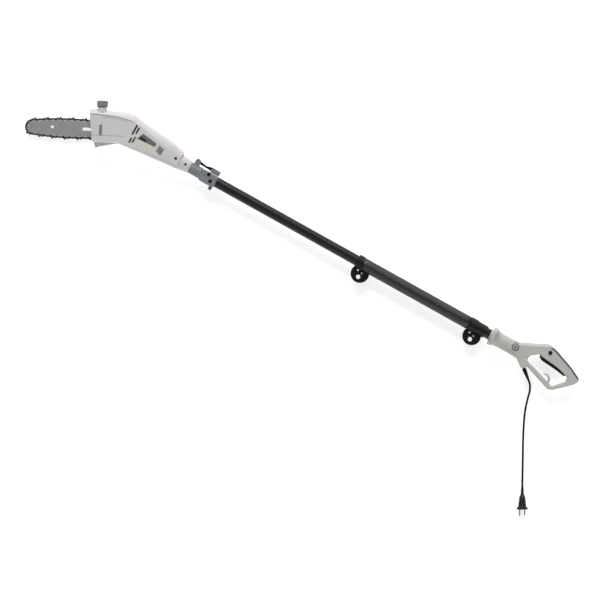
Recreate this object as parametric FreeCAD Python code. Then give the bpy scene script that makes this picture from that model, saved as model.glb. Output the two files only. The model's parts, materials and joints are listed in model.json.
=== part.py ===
"""Telescoping electric pole saw, lying on its right side with its cord on the floor.

All sizes are millimetres. Three working frames lie in planes parallel to the floor:
  POLE   origin on the pole axis, +X towards the rear handle, +Z away from the floor
  HEAD   +X back along the guide bar, turned so that the bar points down and forward
  MOTOR  origin on the sprocket spindle, +X along the motor shaft
Each sub-part is drawn in the frame that suits it. In the end everything is moved together,
so that the model's origin is at the middle of its footprint on the floor.
"""
import FreeCAD, Part
import math
import os

# ---------------------------------------------------------------- driving dimensions
AXIS_HEIGHT = 34.0                 # pole axis above the floor, which is half the head's width
HEAD_ORIGIN = (-363.7, -14.7)      # head frame in the pole frame
HEAD_TURN = 26.56                  # degrees
SPINDLE_X = 8.7                    # sprocket spindle in the head frame
MOTOR_TURN = 8.0                   # degrees
WALL = 3.0
RUNNING = 0.05                     # radial clearance of a shaft in its bore

# telescoping pole
OUTER_R, OUTER_BORE, OUTER_X = 16.0, 14.5, (-62.0, 985.0)
INNER_R, INNER_BORE, INNER_X = 14.0, 12.5, (-175.0, 900.0)
GRIP_X, GRIP_R = (486.3, 851.7), 19.5
SLEEVE_X, SLEEVE_R = (876.3, 908.0), 19.0
EYELETS = ((467.0, 486.0, 493.0), (852.0, 876.0, 876.8))   # band start, band end, disc centre
EYELET_DISC_R, EYELET_DISC_Y, EYELET_THICK = 28.0, -30.0, 8.0
STRAP_HOLE_R, STRAP_HOLE_Y = 6.5, -41.0
EYELET_RIVET, EYELET_RIVET_R = (4.5, 3.0), 2.6     # from the disc's centre

# saw chain: 3/8 inch low profile
PITCH = 9.525                      # from rivet to rivet
LINKS = 66
NOSE_TEETH, DRIVE_TEETH = 7, 6
NOSE_R = NOSE_TEETH * 2 * PITCH / (2 * math.pi)
DRIVE_R = DRIVE_TEETH * 2 * PITCH / (2 * math.pi)
RUN_R = 1000.0                     # crown of the bar's two long edges
RAIL = 3.7                         # rivet line above the rail
BAR_Z, BAR_THICK, GAUGE = -22.0, 4.2, 1.5
BAR_TAIL_X = -17.0
NOSE_BORE = 7.5
STUDS_X = (-50.0, -34.0)

# head
BAY_END_X, BAY_TOP_Z = 48.0, -14.5
FLOOR_TOP_Z = -12.0
CAP_X, CAP_Z, CAP_R = -34.0, 15.0, 16.6
SLAB = 60.0                        # half size of a block that spans the whole head
CASE_SCREW_TOP = 21.0
SEAM, CREASE = 0.6, 0.9            # half widths of a seam line and of the long crease
NECK_SCREWS = ((-156.2, 1.8), (-122.5, 0.7))

# bevel drive
PINION_TEETH, GEAR_TEETH = 10, 31
GEAR_R, GEAR_FACE = 20.5, 7.5
SHAFT_R = 4.0
BEARING_R, BEARING_WIDTH = 9.5, 6.0

# handle
HANDLE_HALF = 17.0
HANDLE_EDGE = 3.8
TRIGGER_PIVOT = (1175.0, 4.5)
LOCK_AT, LOCK_R = (1106.5, 40.3), 6.2
HANDLE_SCREWS = ((1064, 31), (1206, 10), (1043, -26), (1162, -49), (1018, 0))

# clamp
LEVER_PIVOT = (-93.8, 26.7)

# power cord
CORD_R = 3.25
RELIEF_ROOT = (1060.7, -38.2, 0.0)
CORD_ROUTE = (
    (1090.0, -62.0, -2.0), (1097.8, -68.3, -3.0), (1105.2, -77.8, -5.5),
    (1111.5, -91.4, -10.0), (1116.8, -112.7, -17.0), (1126.2, -143.3, -25.0),
    (1144.5, -184.4, -29.4), (1170.6, -236.0, -30.3), (1197.0, -284.0, -30.3),
    (1220.9, -329.4, -30.2), (1233.7, -353.3, -26.0))
PLUG_LENGTH, PLUG_FLANGE_R = 66.0, 17.0
PIN_R, PIN_LENGTH, PIN_SPACING, PIN_TURN = 2.4, 19.0, 19.0, 42.0
PIN_TIP = 1.2                      # chamfer on a pin's end


# ---------------------------------------------------------------- frames and shapes
def vec(x, y, z=0.0):
    """A vector in millimetres."""
    return FreeCAD.Vector(x, y, z)


Z_UP = vec(0, 0, 1)
POLE = FreeCAD.Placement()
HEAD = FreeCAD.Placement(vec(*HEAD_ORIGIN), FreeCAD.Rotation(Z_UP, HEAD_TURN))
MOTOR = FreeCAD.Placement(HEAD.multVec(vec(SPINDLE_X, 0)), FreeCAD.Rotation(Z_UP, MOTOR_TURN))
HEAD_SCREWS = (HEAD.multVec(vec(-4, 36)), vec(-268, 37.5), vec(-196, -14), MOTOR.multVec(vec(48, -20)))


def put(shape, frame):
    """A copy of a shape, moved from a working frame into the pole frame."""
    moved = shape.copy()
    moved.Placement = frame.multiply(moved.Placement)
    return moved


def box(x0, x1, y0, y1, z0, z1):
    """A box between two limits on each axis."""
    return Part.makeBox(x1 - x0, y1 - y0, z1 - z0, vec(x0, y0, z0))


def rod(radius, start, end):
    """A cylinder from one point to another."""
    start, end = vec(*start), vec(*end)
    return Part.makeCylinder(radius, (end - start).Length, start, end - start)


def pipe(radius, bore, start, end):
    """A straight tube from one point to another."""
    return rod(radius, start, end).cut(rod(bore, start, end))


def along_x(radius, x0, x1):
    """A cylinder about the X axis."""
    return rod(radius, (x0, 0, 0), (x1, 0, 0))


def along_z(radius, x, y, z0, z1):
    """A cylinder that stands up along Z."""
    return rod(radius, (x, y, z0), (x, y, z1))


def fused(first, *others):
    """One solid made of several that touch."""
    return first.multiFuse(list(others)).removeSplitter()


def group(shapes):
    """Separate solids kept in one node."""
    return Part.makeCompound(list(shapes))


def above(shape, z=0.0):
    """The part of a shape that lies over a level."""
    return shape.common(box(-2000, 2000, -2000, 2000, z, 500))


def below(shape, z=0.0):
    """The part of a shape that lies under a level."""
    return shape.common(box(-2000, 2000, -2000, 2000, -500, z))


def rounded_wire(corners, z=0.0):
    """A closed wire through corners given as (x, y) or (x, y, radius)."""
    count = len(corners)
    points = [vec(c[0], c[1], z) for c in corners]
    edges = []
    joints = []
    for i, corner in enumerate(corners):
        radius = corner[2] if len(corner) > 2 else 0.0
        to_last = (points[i - 1] - points[i]).normalize()
        to_next = (points[(i + 1) % count] - points[i]).normalize()
        if radius == 0.0:
            joints.append((points[i], points[i]))
            continue
        half = to_last.getAngle(to_next) / 2
        reach = radius / math.tan(half)
        start, end = points[i] + to_last * reach, points[i] + to_next * reach
        centre = points[i] + (to_last + to_next).normalize() * (radius / math.sin(half))
        middle = centre + (points[i] - centre).normalize() * radius
        edges.append(Part.Arc(start, middle, end).toShape())
        joints.append((start, end))
    for i in range(count):
        start, end = joints[i][1], joints[(i + 1) % count][0]
        if (end - start).Length > 1e-6:
            edges.append(Part.LineSegment(start, end).toShape())
    return Part.Wire(Part.__sortEdges__(edges))


def plate(corners, z0, z1):
    """A flat plate with the given outline."""
    return Part.Face(rounded_wire(corners, z0)).extrude(vec(0, 0, z1 - z0))


def turned(profile, origin=(0, 0, 0), axis=(1, 0, 0)):
    """A body turned about an axis. The profile holds (distance along the axis, radius)."""
    points = [vec(along, radius) for along, radius in profile]
    face = Part.Face(Part.makePolygon(points + points[:1]))
    body = face.revolve(vec(0, 0, 0), vec(1, 0, 0), 360)
    turn = FreeCAD.Rotation(vec(1, 0, 0), vec(*axis))
    return put(body, FreeCAD.Placement(vec(*origin), turn))


def bearing(origin, axis):
    """A closed ball bearing that starts at a point and runs along an axis."""
    lip, race = 0.4, 1.6
    bore = SHAFT_R + RUNNING
    profile = ((0, bore), (0, bore + race), (lip, bore + race), (lip, BEARING_R - race),
               (0, BEARING_R - race), (0, BEARING_R), (BEARING_WIDTH, BEARING_R),
               (BEARING_WIDTH, BEARING_R - race), (BEARING_WIDTH - lip, BEARING_R - race),
               (BEARING_WIDTH - lip, bore + race), (BEARING_WIDTH, bore + race),
               (BEARING_WIDTH, bore))
    return turned(profile, origin, axis)


# ---------------------------------------------------------------- bar and chain
def run_centre(gap):
    """Centre of the shallow arc over both sprocket circles, from the nose centre."""
    to_nose, to_drive = RUN_R - NOSE_R, RUN_R - DRIVE_R
    along = (to_nose ** 2 - to_drive ** 2 + gap ** 2) / (2 * gap)
    return along, -math.sqrt(to_nose ** 2 - along ** 2)


def leave_angles(gap):
    """Angles at which the rivet line leaves the nose circle and meets the drive circle."""
    along, down = run_centre(gap)
    return math.atan2(-down, -along), math.atan2(-down, gap - along)


def loop_length(gap):
    """Length of the rivet line for a distance between the two sprockets."""
    nose, drive = leave_angles(gap)
    return 2 * (RUN_R * (nose - drive) + NOSE_R * (math.pi - nose) + DRIVE_R * drive)


def sprocket_gap():
    """Distance between sprockets that fits a whole number of links."""
    low, high = 100.0, 400.0
    while high - low > 1e-9:
        middle = (low + high) / 2
        if loop_length(middle) < LINKS * PITCH:
            low = middle
        else:
            high = middle
    return low


GAP = sprocket_gap()
NOSE_X = SPINDLE_X - GAP


def loop_wire(inset, z=0.0):
    """The rivet line, or a line inside it, clockwise in the head frame."""
    nose, drive = leave_angles(GAP)
    along, down = run_centre(GAP)

    def on_circle(x, y, radius, angle):
        return vec(x + (radius - inset) * math.cos(angle), y + (radius - inset) * math.sin(angle), z)

    top = [on_circle(NOSE_X + along, down, RUN_R, a) for a in (nose, (nose + drive) / 2, drive)]
    low = [vec(p.x, -p.y, z) for p in reversed(top)]
    back = on_circle(SPINDLE_X, 0, DRIVE_R, 0)
    front = on_circle(NOSE_X, 0, NOSE_R, math.pi)
    arcs = (top, (top[2], back, low[0]), low, (low[2], front, top[0]))
    return Part.Wire([Part.Arc(*points).toShape() for points in arcs])


def loop_plate(inset, half):
    """A plate of the loop's shape, centred on the bar's middle plane."""
    return Part.Face(loop_wire(inset, BAR_Z - half)).extrude(vec(0, 0, 2 * half))


def nose_rivet_places():
    """Places of the four rivets that hold the nose bearing."""
    angles = [math.radians(45 + 90 * i) for i in range(4)]
    return [(NOSE_X + 4.6 * math.cos(a), 4.6 * math.sin(a)) for a in angles]


def guide_bar():
    """Laminated guide bar with its chain groove, clamp slot and lightening hole."""
    half, groove = BAR_THICK / 2, GAUGE / 2
    bottom, top = BAR_Z - half, BAR_Z + half
    body = loop_plate(RAIL, half).common(box(-400, BAR_TAIL_X, -60, 60, bottom, top))
    edge = loop_plate(RAIL - 1, groove).cut(loop_plate(9.8, groove))
    pocket = along_z(11.8, NOSE_X, 0, BAR_Z - groove, BAR_Z + groove)
    slot = plate(((-93.4, -4.5, 4.4), (-28, -4.5, 4.4), (-28, 4.5, 4.4), (-93.4, 4.5, 4.4)),
                 bottom - 1, top + 1)
    holes = [along_z(4.5, -184, 2.5, bottom - 1, top + 1), along_z(3.0, -45, -11, bottom - 1, top + 1)]
    holes += [along_z(1.5, x, y, bottom - 1, top + 1) for x, y in nose_rivet_places()]
    return body.cut([edge, pocket, slot] + holes)


def nose_bearing():
    """Bearing disc of the nose sprocket with its four rivets."""
    disc = along_z(NOSE_BORE - RUNNING, NOSE_X, 0, BAR_Z - 0.7, BAR_Z + 0.7)
    rivets = [along_z(1.5, x, y, BAR_Z - 2.2, BAR_Z + 2.2) for x, y in nose_rivet_places()]
    return fused(disc, *rivets)


def nose_sprocket():
    """Thin star wheel that turns inside the bar's nose."""
    half = 0.6
    star = along_z(9.2, NOSE_X, 0, BAR_Z - half, BAR_Z + half)
    tooth = plate(((NOSE_X + 8, -2.6), (NOSE_X + 11.2, -1.2), (NOSE_X + 11.2, 1.2), (NOSE_X + 8, 2.6)),
                  BAR_Z - half, BAR_Z + half)
    teeth = []
    for i in range(NOSE_TEETH):
        turned_tooth = tooth.copy()
        turned_tooth.rotate(vec(NOSE_X, 0, BAR_Z), Z_UP, i * 360 / NOSE_TEETH)
        teeth.append(turned_tooth)
    return fused(star, *teeth).cut(along_z(NOSE_BORE, NOSE_X, 0, BAR_Z - 1, BAR_Z + 1))


RIVET_R = 2.0
HALF_LINK = PITCH / 2
DRIVE_LINK = ((-7.4, -1.5), (-5.5, 2.6), (5.5, 2.6), (7.4, -1.5), (3.6, -3.6), (1.2, -8.6),
              (-1.2, -8.6), (-3.6, -3.6))
TIE_STRAP = ((-7.2, -3.0, 1), (7.2, -3.0, 1), (7.5, 1.0, 2), (4.6, 2.6, 2), (-4.6, 2.6, 2),
             (-7.5, 1.0, 2))
CUTTER = ((-7.2, -3.0, 1), (7.2, -3.0, 1), (7.6, 2.5), (7.3, 5.6), (1.6, 5.2), (0.6, 2.8, 1),
          (-2.4, 2.6, 1), (-3.5, 5.4, 0.8), (-6.2, 5.1, 1), (-7.5, 1.0))
SIDE_PLATE = (0.75, 1.95)
TOP_PLATE = ((1.4, 5.1), (7.4, 5.5), (7.5, 6.4), (1.8, 6.0))


def link_plate(outline, z0, z1):
    """A link plate with its two rivet holes."""
    holes = [along_z(RIVET_R, x, 0, z0, z1) for x in (-HALF_LINK, HALF_LINK)]
    return plate(outline, z0, z1).cut(holes)


def cutter_link(side):
    """A cutter on one side of the chain, +1 or -1, with its depth gauge in front."""
    body = fused(link_plate(CUTTER, *SIDE_PLATE), plate(TOP_PLATE, -1.0, 2.4))
    return body if side > 0 else body.mirror(vec(0, 0, 0), Z_UP)


def chain():
    """Every plate and rivet of the chain, placed round the loop."""
    points = loop_wire(0, BAR_Z).discretize(LINKS + 1)
    drive = link_plate(DRIVE_LINK, -0.65, 0.65)
    strap_up = link_plate(TIE_STRAP, *SIDE_PLATE)
    strap_down = strap_up.mirror(vec(0, 0, 0), Z_UP)
    cutters = {side: cutter_link(side) for side in (1, -1)}
    drives, straps, teeth = [], [], []
    for i in range(LINKS):
        step = points[i + 1] - points[i]
        turn = FreeCAD.Rotation(Z_UP, math.degrees(math.atan2(step.y, step.x)))
        place = FreeCAD.Placement((points[i] + points[i + 1]) * 0.5, turn)
        side_link = i // 2
        has_cutter = side_link % 2 == 0 and side_link < LINKS // 2 - 1
        if i % 2:
            drives.append(put(drive, place))
        elif has_cutter:
            side = 1 if side_link % 4 == 0 else -1
            teeth.append(put(cutters[side], place))
            straps.append(put(strap_down if side > 0 else strap_up, place))
        else:
            straps += [put(strap_up, place), put(strap_down, place)]
    rivets = [along_z(RIVET_R, p.x, p.y, BAR_Z - 2.5, BAR_Z + 2.5) for p in points[:-1]]
    return {"chain_drive_links": group(drives), "chain_tie_straps": group(straps),
            "chain_cutters": group(teeth), "chain_rivets": group(rivets)}


def bar_hardware():
    """Studs, flange nuts and tensioner that hold the bar."""
    studs = [along_z(3.0, x, 0, -30.5, -4.0) for x in STUDS_X]
    nuts = []
    for x in STUDS_X:
        hexagon = Part.Face(Part.makePolygon(
            [vec(x + 5.6 * math.cos(a), 5.6 * math.sin(a), -32.5)
             for a in [math.radians(60 * i) for i in range(7)]])).extrude(vec(0, 0, 3.5))
        nuts.append(fused(hexagon, along_z(6.6, x, 0, -29.4, -28.0)).cut(
            along_z(3.0, x, 0, -33, -27)))
    screw = rod(2.0, (-57, -11, -17.3), (-22, -11, -17.3))
    block = box(-49, -41, -15, -8.4, -19.6, -14.8)
    pin = along_z(2.6, -45, -11, -24.0, -19.0)
    return {"bar_studs": group(studs), "bar_nuts": group(nuts),
            "chain_tensioner": fused(screw, block, pin)}


def bar_and_chain():
    """The cutting gear, in the pole frame."""
    parts = {"guide_bar": guide_bar(), "nose_bearing": nose_bearing(),
             "nose_sprocket": nose_sprocket()}
    parts.update(chain())
    parts.update(bar_hardware())
    return {name: put(shape, HEAD) for name, shape in parts.items()}


# ---------------------------------------------------------------- head housing
def section(low, high, half, crown, round_low, inset, side):
    """Half of a cross-section on the line from low to high: a flat side under a domed top.

    The crown is how far the crease between them lies below the top. The side is 1 or -1.
    """
    low, high = vec(*low), vec(*high)
    up = (high - low).normalize()
    low, high = low + up * inset, high - up * inset
    height, half = (high - low).Length, half - inset
    crease, corner = height - crown, max(round_low - inset, 1.5)
    sweep = corner * (1 - math.sqrt(0.5))
    dome = (half ** 2 + crown ** 2) / (2 * crown)
    tilt = math.atan2(half, dome - crown) / 2

    def at(rise, out):
        return low + up * rise + Z_UP * (side * out)

    past = 1.0 + inset
    crest = at(height - dome + dome * math.cos(tilt), dome * math.sin(tilt))
    edges = [
        Part.LineSegment(at(0, -past), at(0, half - corner)),
        Part.Arc(at(0, half - corner), at(sweep, half - sweep), at(corner, half)),
        Part.LineSegment(at(corner, half), at(crease, half)),
        Part.Arc(at(crease, half), crest, at(height, 0)),
        Part.LineSegment(at(height, 0), at(height, -past)),
        Part.LineSegment(at(height, -past), at(0, -past))]
    return Part.Wire([edge.toShape() for edge in edges])


def in_head(x, y):
    """A point of the head frame, in the pole frame."""
    point = HEAD.multVec(vec(x, y))
    return point.x, point.y


def head_stations():
    """Cross-sections of the head from its front edge to its neck: low, high, half, crown, corner."""
    wide = AXIS_HEIGHT + 0.3
    return [
        (in_head(-59.5, -38), in_head(-72, 62), wide, 17, 3),
        (in_head(-38, -38), in_head(-44, 61.3), wide, 17, 3),
        (in_head(-15, -38), in_head(-16, 59), wide, 17, 3),
        ((-336, -43), in_head(14, 56.5), wide, 17, 4),
        ((-322, -41.5), in_head(40, 55.3), wide, 21, 4),
        ((-303, -39.5), (-327, 57), wide, 21, 5),
        ((-281, -37), (-295, 52.5), wide, 18.5, 6),
        ((-252, -34), (-257, 48.3), wide, 21, 8),
        ((-218, -31), (-219, 45.2), 33, 26, 10),
        ((-180, -27.5), (-180, 41), 30, 28.5, 12),
        ((-143, -24.5), (-143, 32), 25.5, 25, 13)]


def head_envelope(side, inset=0.0):
    """Half of the head's outside, or of the cavity a wall's thickness inside it."""
    stations = head_stations()
    if inset:
        forward = HEAD.Rotation.multVec(vec(inset, 0))
        low, high, *rest = stations[0]
        stations[0] = ((low[0] + forward.x, low[1] + forward.y),
                       (high[0] + forward.x, high[1] + forward.y), *rest)
        stations[-1] = ((-150, -25), (-150, 33.7), 26, 25.5, 13)
    loft = Part.makeLoft([section(*station, inset, side) for station in stations], True, True)
    inner, outer = (-0.5 if inset else 0.0), AXIS_HEIGHT - inset
    if side < 0:
        inner, outer = -outer, -inner
    return loft.common(box(-500, 0, -200, 200, inner, outer))


def head_ribs():
    """Ribs that carry the motor and posts that take the case screws."""
    ribs = []
    for x0, x1, radius in ((28, 35, 28.0), (80, 84, 29.0), (106, 110, 29.0), (136, 140, 24.0)):
        slab = box(x0, x1, -SLAB, SLAB, -SLAB, SLAB)
        ribs.append(put(slab.cut(along_x(radius, x0 - 1, x1 + 1)), MOTOR))
    ribs += [along_z(4.5, p.x, p.y, -SLAB, SLAB) for p in HEAD_SCREWS]
    return ribs


def head_walls(side):
    """One half of the hollow case."""
    cavity = head_envelope(side, WALL).cut(head_ribs())
    bore = along_x(20.0, -168, -140)
    return head_envelope(side).cut([cavity, bore] + screw_holes())


def screw_seat(point):
    """Height at which a case screw's head rests: over the chain bay or near the outside."""
    return -31.8 if point.x > -300 else FLOOR_TOP_Z - 0.8


def screw_holes():
    """Blind holes of the case screws, with room for their heads."""
    holes = [along_z(2.0, p.x, p.y, -SLAB, CASE_SCREW_TOP) for p in HEAD_SCREWS]
    return holes + [along_z(3.8, p.x, p.y, -SLAB, screw_seat(p)) for p in HEAD_SCREWS]


def left_cuts():
    """Vents, window, panel and seams of the visible side."""
    outside = AXIS_HEIGHT
    cuts = [box(x - 2.6, x + 2.6, y0, y1, 20, 40) for x, y0, y1 in (
        (-304.5, 0.7, 32.9), (-295.5, 7.7, 29.0), (-301.0, -25.4, -9.0), (-292.2, -20.6, -0.8))]
    for i in range(4):
        x = -217.5 + 4.8 * i
        cuts.append(box(x, x + 3.0, -9 - 1.5 * i, 13 - 1.3 * i, 16, 40))
    panel = ((-30.6, -16, 1), (46, -16, 3), (46, 24, 2), (30, 29, 8), (-2, 34.5, 8), (-30.6, 36.8, 1))
    cuts.append(put(plate(panel, outside - 1, outside + 1), HEAD))
    cuts.append(put(box(-39.3, -30.6, -18.5, 12.6, 25, 40), HEAD))
    seam = ((-73, 42.9), (-43, 42.1), (-16, 39.8), (13.5, 37.3), (36.5, 32.3), (59.5, 25.3))
    for (x0, y0), (x1, y1) in zip(seam, seam[1:]):
        strip = plate(((x0, y0 - CREASE), (x1, y1 - CREASE), (x1, y1 + CREASE), (x0, y0 + CREASE)),
                      outside - 2.2, outside + 1)
        cuts.append(put(strip, HEAD))
    cuts.append(put(box(-62, 36, -19.4 - SEAM, -19.4 + SEAM, outside - 1.2, outside + 1), HEAD))
    cuts.append(along_z(4.2, *NECK_SCREWS[0], 24.0, 40))
    return cuts


def left_shell(walls):
    """Left half of the case, with the collar round the oil filler."""
    filler = rod(14.5, (CAP_X, 50, CAP_Z), (CAP_X, 64.5, CAP_Z))
    collar = above(put(filler, HEAD)).cut(head_envelope(1, WALL))
    neck_hole = put(rod(11.0, (CAP_X, 40, CAP_Z), (CAP_X, 70, CAP_Z)), HEAD)
    return fused(walls, collar).cut(left_cuts() + [neck_hole])


def bay_space():
    """The room under the floor wall where sprocket and chain run."""
    return put(box(-120, BAY_END_X, -80, 90, -60, BAY_TOP_Z), HEAD)


def right_shell(walls):
    """Right half of the case with the floor that carries bar and gearbox."""
    outside = head_envelope(-1)
    floor = put(box(-120, BAY_END_X + WALL, -80, 90, BAY_TOP_Z, FLOOR_TOP_Z), HEAD)
    bulkhead = put(box(BAY_END_X, BAY_END_X + WALL, -80, 90, -60, FLOOR_TOP_Z), HEAD)
    inner = [piece.common(outside) for piece in (floor, bulkhead)]
    pad = put(plate(((-58, -8, 3), (-12, -8, 3), (-12, 8, 3), (-58, 8, 3)),
                    BAR_Z + BAR_THICK / 2, BAY_TOP_Z), HEAD)
    bosses = [put(along_z(6.0, x, 0, FLOOR_TOP_Z, -4.0), HEAD) for x in STUDS_X]
    drill = [put(along_z(3.0, x, 0, -40, 0), HEAD) for x in STUDS_X]
    drill.append(put(along_z(BEARING_R + 0.5, SPINDLE_X, 0, -40, FLOOR_TOP_Z), HEAD))
    body = walls.cut(bay_space())
    return fused(body, pad, *bosses, *inner).cut(drill + screw_holes())


def sprocket_cover(walls):
    """Removable side cover over the sprocket, with the spiked lip in front."""
    gap = 0.3
    room = put(box(-120, BAY_END_X - gap, -80, 90, -60, BAY_TOP_Z - gap), HEAD)
    lip = plate(((-58, -35.5), (-52, -55, 2), (-44, -51), (15.3, -38.3), (15, -35.5)), -30, -15.2)
    bosses = [along_z(9.0, x, 0, -33, -26.6) for x in STUDS_X]
    pockets = [along_z(7.6, x, 0, -35, -28.0) for x in STUDS_X]
    pockets += [along_z(3.1, x, 0, -35, -20) for x in STUDS_X]
    exit_cut = box(-120, -50, -34.5, 34.5, -29, -15)
    body = fused(walls.common(room), *[put(piece, HEAD) for piece in [lip] + bosses])
    return body.cut([put(piece, HEAD) for piece in pockets + [exit_cut]])


def oil_parts():
    """Oil tank with filler and window, cap and worm-driven pump."""
    tank = box(-55, -16, -28, 41, -2, 27).cut(box(-53.5, -17.5, -26.5, 39.5, -0.5, 25.5))
    window = box(-39.0, -30.9, -18.2, 12.3, 26, 33.2)
    neck = pipe(10.5, 8.5, (CAP_X, 40, CAP_Z), (CAP_X, 66.5, CAP_Z))
    mouth = rod(8.5, (CAP_X, 39, CAP_Z), (CAP_X, 67, CAP_Z))
    outlet = rod(1.6, (-17, -8.5, 0), (-13.0, -8.5, 0))
    tank = fused(tank, window, neck, outlet).cut(mouth)
    cap = turned(((0.3, 11.0), (0.3, 15.0), (1.3, CAP_R), (19.8, CAP_R), (21.0, CAP_R - 1.2), (21.0, 0.0),
                  (-6.0, 0.0), (-6.0, 8.2), (2.0, 8.2), (2.0, 11.0)), (CAP_X, 65.3, CAP_Z), (0, 1, 0))
    return {"oil_tank": tank, "oil_cap": cap}


# ---------------------------------------------------------------- motor and gears
def bevel_teeth(teeth, mate, radius, face, phase):
    """Straight bevel teeth about Z with the cone's tip at the origin."""
    cone = math.atan(teeth / mate)
    module = 2 * radius / teeth
    distance = radius / math.sin(cone)
    height = radius / math.tan(cone)
    half = 0.36 * math.pi * module / 2
    outline = []
    for depth, sign in ((-1.35, 1), (0.85, 1), (0.85, -1), (-1.35, -1)):
        reach = depth * module
        flank = half - reach * math.tan(math.radians(20))
        outline.append(vec(radius + reach * math.cos(cone), sign * flank,
                           height - reach * math.sin(cone)))
    small = (distance - face) / distance
    ends = [Part.makePolygon([p * s for p in outline + outline[:1]]) for s in (1.0, small)]
    tooth = Part.makeLoft(ends, True, True)
    made = []
    for i in range(teeth):
        copy = tooth.copy()
        copy.rotate(vec(0, 0, 0), Z_UP, phase + i * 360 / teeth)
        made.append(copy)
    return made


def root_cone(teeth, mate, radius, face):
    """Radius and height of the tooth roots at the large and the small end."""
    cone = math.atan(teeth / mate)
    reach = 1.15 * 2 * radius / teeth
    distance = radius / math.sin(cone)
    large = (radius - reach * math.cos(cone), radius / math.tan(cone) + reach * math.sin(cone))
    small = (distance - face) / distance
    return large, (large[0] * small, large[1] * small)


def bevel_gear():
    """Large bevel gear, teeth down towards the motor shaft."""
    large, small = root_cone(GEAR_TEETH, PINION_TEETH, GEAR_R, GEAR_FACE)
    body = turned(((small[1], small[0]), (large[1], large[0]), (13.0, large[0]), (13.0, 9.0),
                   (15.2, 8.0), (15.2, SHAFT_R), (small[1], SHAFT_R)), axis=(0, 0, 1))
    phase = 180 / GEAR_TEETH
    return fused(body, *bevel_teeth(GEAR_TEETH, PINION_TEETH, GEAR_R, GEAR_FACE, phase))


def motor_shaft():
    """Armature shaft with the pinion cut on its front end."""
    radius = GEAR_R * PINION_TEETH / GEAR_TEETH
    large, small = root_cone(PINION_TEETH, GEAR_TEETH, radius, GEAR_FACE)
    cone = turned(((small[1], 0), (small[1], small[0]), (large[1], large[0]), (24.0, large[0]),
                   (24.0, 0)), axis=(0, 0, 1))
    teeth = bevel_teeth(PINION_TEETH, GEAR_TEETH, radius, GEAR_FACE, 0)
    pinion = fused(cone, *teeth)
    pinion.rotate(vec(0, 0, 0), vec(0, 1, 0), 90)
    return fused(pinion, along_x(SHAFT_R, 23, 144))


def spindle():
    """Output spindle with the worm for the oil pump."""
    worm = [turned(((z, SHAFT_R - 0.5), (z, 5.2), (z + 0.7, 5.9), (z + 1.1, 5.9), (z + 1.8, 5.2),
                    (z + 1.8, SHAFT_R - 0.5)), axis=(0, 0, 1)) for z in (-2.4, -0.6)]
    return fused(along_z(SHAFT_R, 0, 0, -29, 23), *worm)


def drive_sprocket():
    """Rim sprocket: the drive links run between its two flanges."""
    rim = 14.3
    return turned(((BAR_Z - 3.5, SHAFT_R), (BAR_Z - 3.5, rim), (BAR_Z - 0.9, rim), (BAR_Z - 0.9, 8.5),
                   (BAR_Z + 0.9, 8.5), (BAR_Z + 0.9, rim), (BAR_Z + 3.5, rim), (BAR_Z + 3.5, SHAFT_R)),
                  axis=(0, 0, 1))


def motor_fan():
    """Cooling fan with a back disc and straight blades."""
    disc = along_x(26, 65, 67)
    hub = along_x(8, 59, 66)
    blades = []
    for i in range(11):
        blade = box(58.5, 65.5, 7, 25.5, -0.8, 0.8)
        blade.rotate(vec(0, 0, 0), vec(1, 0, 0), i * 360 / 11)
        blades.append(blade)
    return fused(disc, hub, *blades).cut(along_x(SHAFT_R, 58, 68))


def armature():
    """Wound core of the motor, with slots between its teeth and the end windings."""
    core = pipe(16.8, SHAFT_R, (76, 0, 0), (114, 0, 0))
    slots = []
    for i in range(12):
        slot = box(75, 115, 11.5, 18, -1.2, 1.2)
        slot.rotate(vec(0, 0, 0), vec(1, 0, 0), i * 30)
        slots.append(slot)
    ends = [turned(((x0, SHAFT_R), (x0, 12), (x0 + s * 3, 14.5), (x1, 14.5), (x1, SHAFT_R)))
            for x0, x1, s in ((71, 76, 1), (119, 114, -1))]
    return fused(core.cut(slots), *ends)


def commutator():
    """Copper commutator with its bars told apart by fine slots."""
    body = pipe(11.0, SHAFT_R, (119.5, 0, 0), (131, 0, 0))
    slots = []
    for i in range(24):
        slot = box(119, 132, 10.2, 12, -0.25, 0.25)
        slot.rotate(vec(0, 0, 0), vec(1, 0, 0), i * 15)
        slots.append(slot)
    return body.cut(slots)


def stator_core():
    """Laminated stator with two poles."""
    yoke = pipe(28.95, 24.0, (74, 0, 0), (116, 0, 0))
    poles = pipe(24.5, 17.6, (74, 0, 0), (116, 0, 0)).common(box(70, 120, -30, 30, -12, 12))
    return fused(yoke, poles)


def field_coils():
    """Two field coils beside the poles."""
    ring = pipe(23.6, 18.4, (69.5, 0, 0), (120.5, 0, 0))
    return group([ring.common(box(60, 130, -30, 30, z0, z1)) for z0, z1 in ((12.4, 30), (-30, -12.4))])


def brush_gear():
    """Two carbon brushes in their holders."""
    made = []
    for side in (1, -1):
        holder = box(121.5, 129, -4.5, 4.5, 13, 24).cut(box(123, 127.5, -3, 3, 12, 25))
        brush = box(123, 127.5, -3, 3, 11.2, 20)
        for piece in (holder, brush):
            if side < 0:
                piece = piece.mirror(vec(0, 0, 0), Z_UP)
            made.append(piece)
    return group(made)


def motor_brackets():
    """Front and rear plates that carry the motor's bearings."""
    front = along_x(27.95, 28.2, 34.8).cut(along_x(BEARING_R, 28, 34.2)).cut(along_x(6, 27, 36))
    front = above(front, FLOOR_TOP_Z)
    rear = along_x(23.95, 134, 143).cut([along_x(BEARING_R, 135, 141), along_x(6, 133, 145)])
    vents = []
    for i in range(6):
        vent = along_x(3.5, 133, 145)
        vent.translate(vec(0, 17, 0))
        vent.rotate(vec(0, 0, 0), vec(1, 0, 0), 30 + i * 60)
        vents.append(vent)
    return group([front, rear.cut(vents)])


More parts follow.
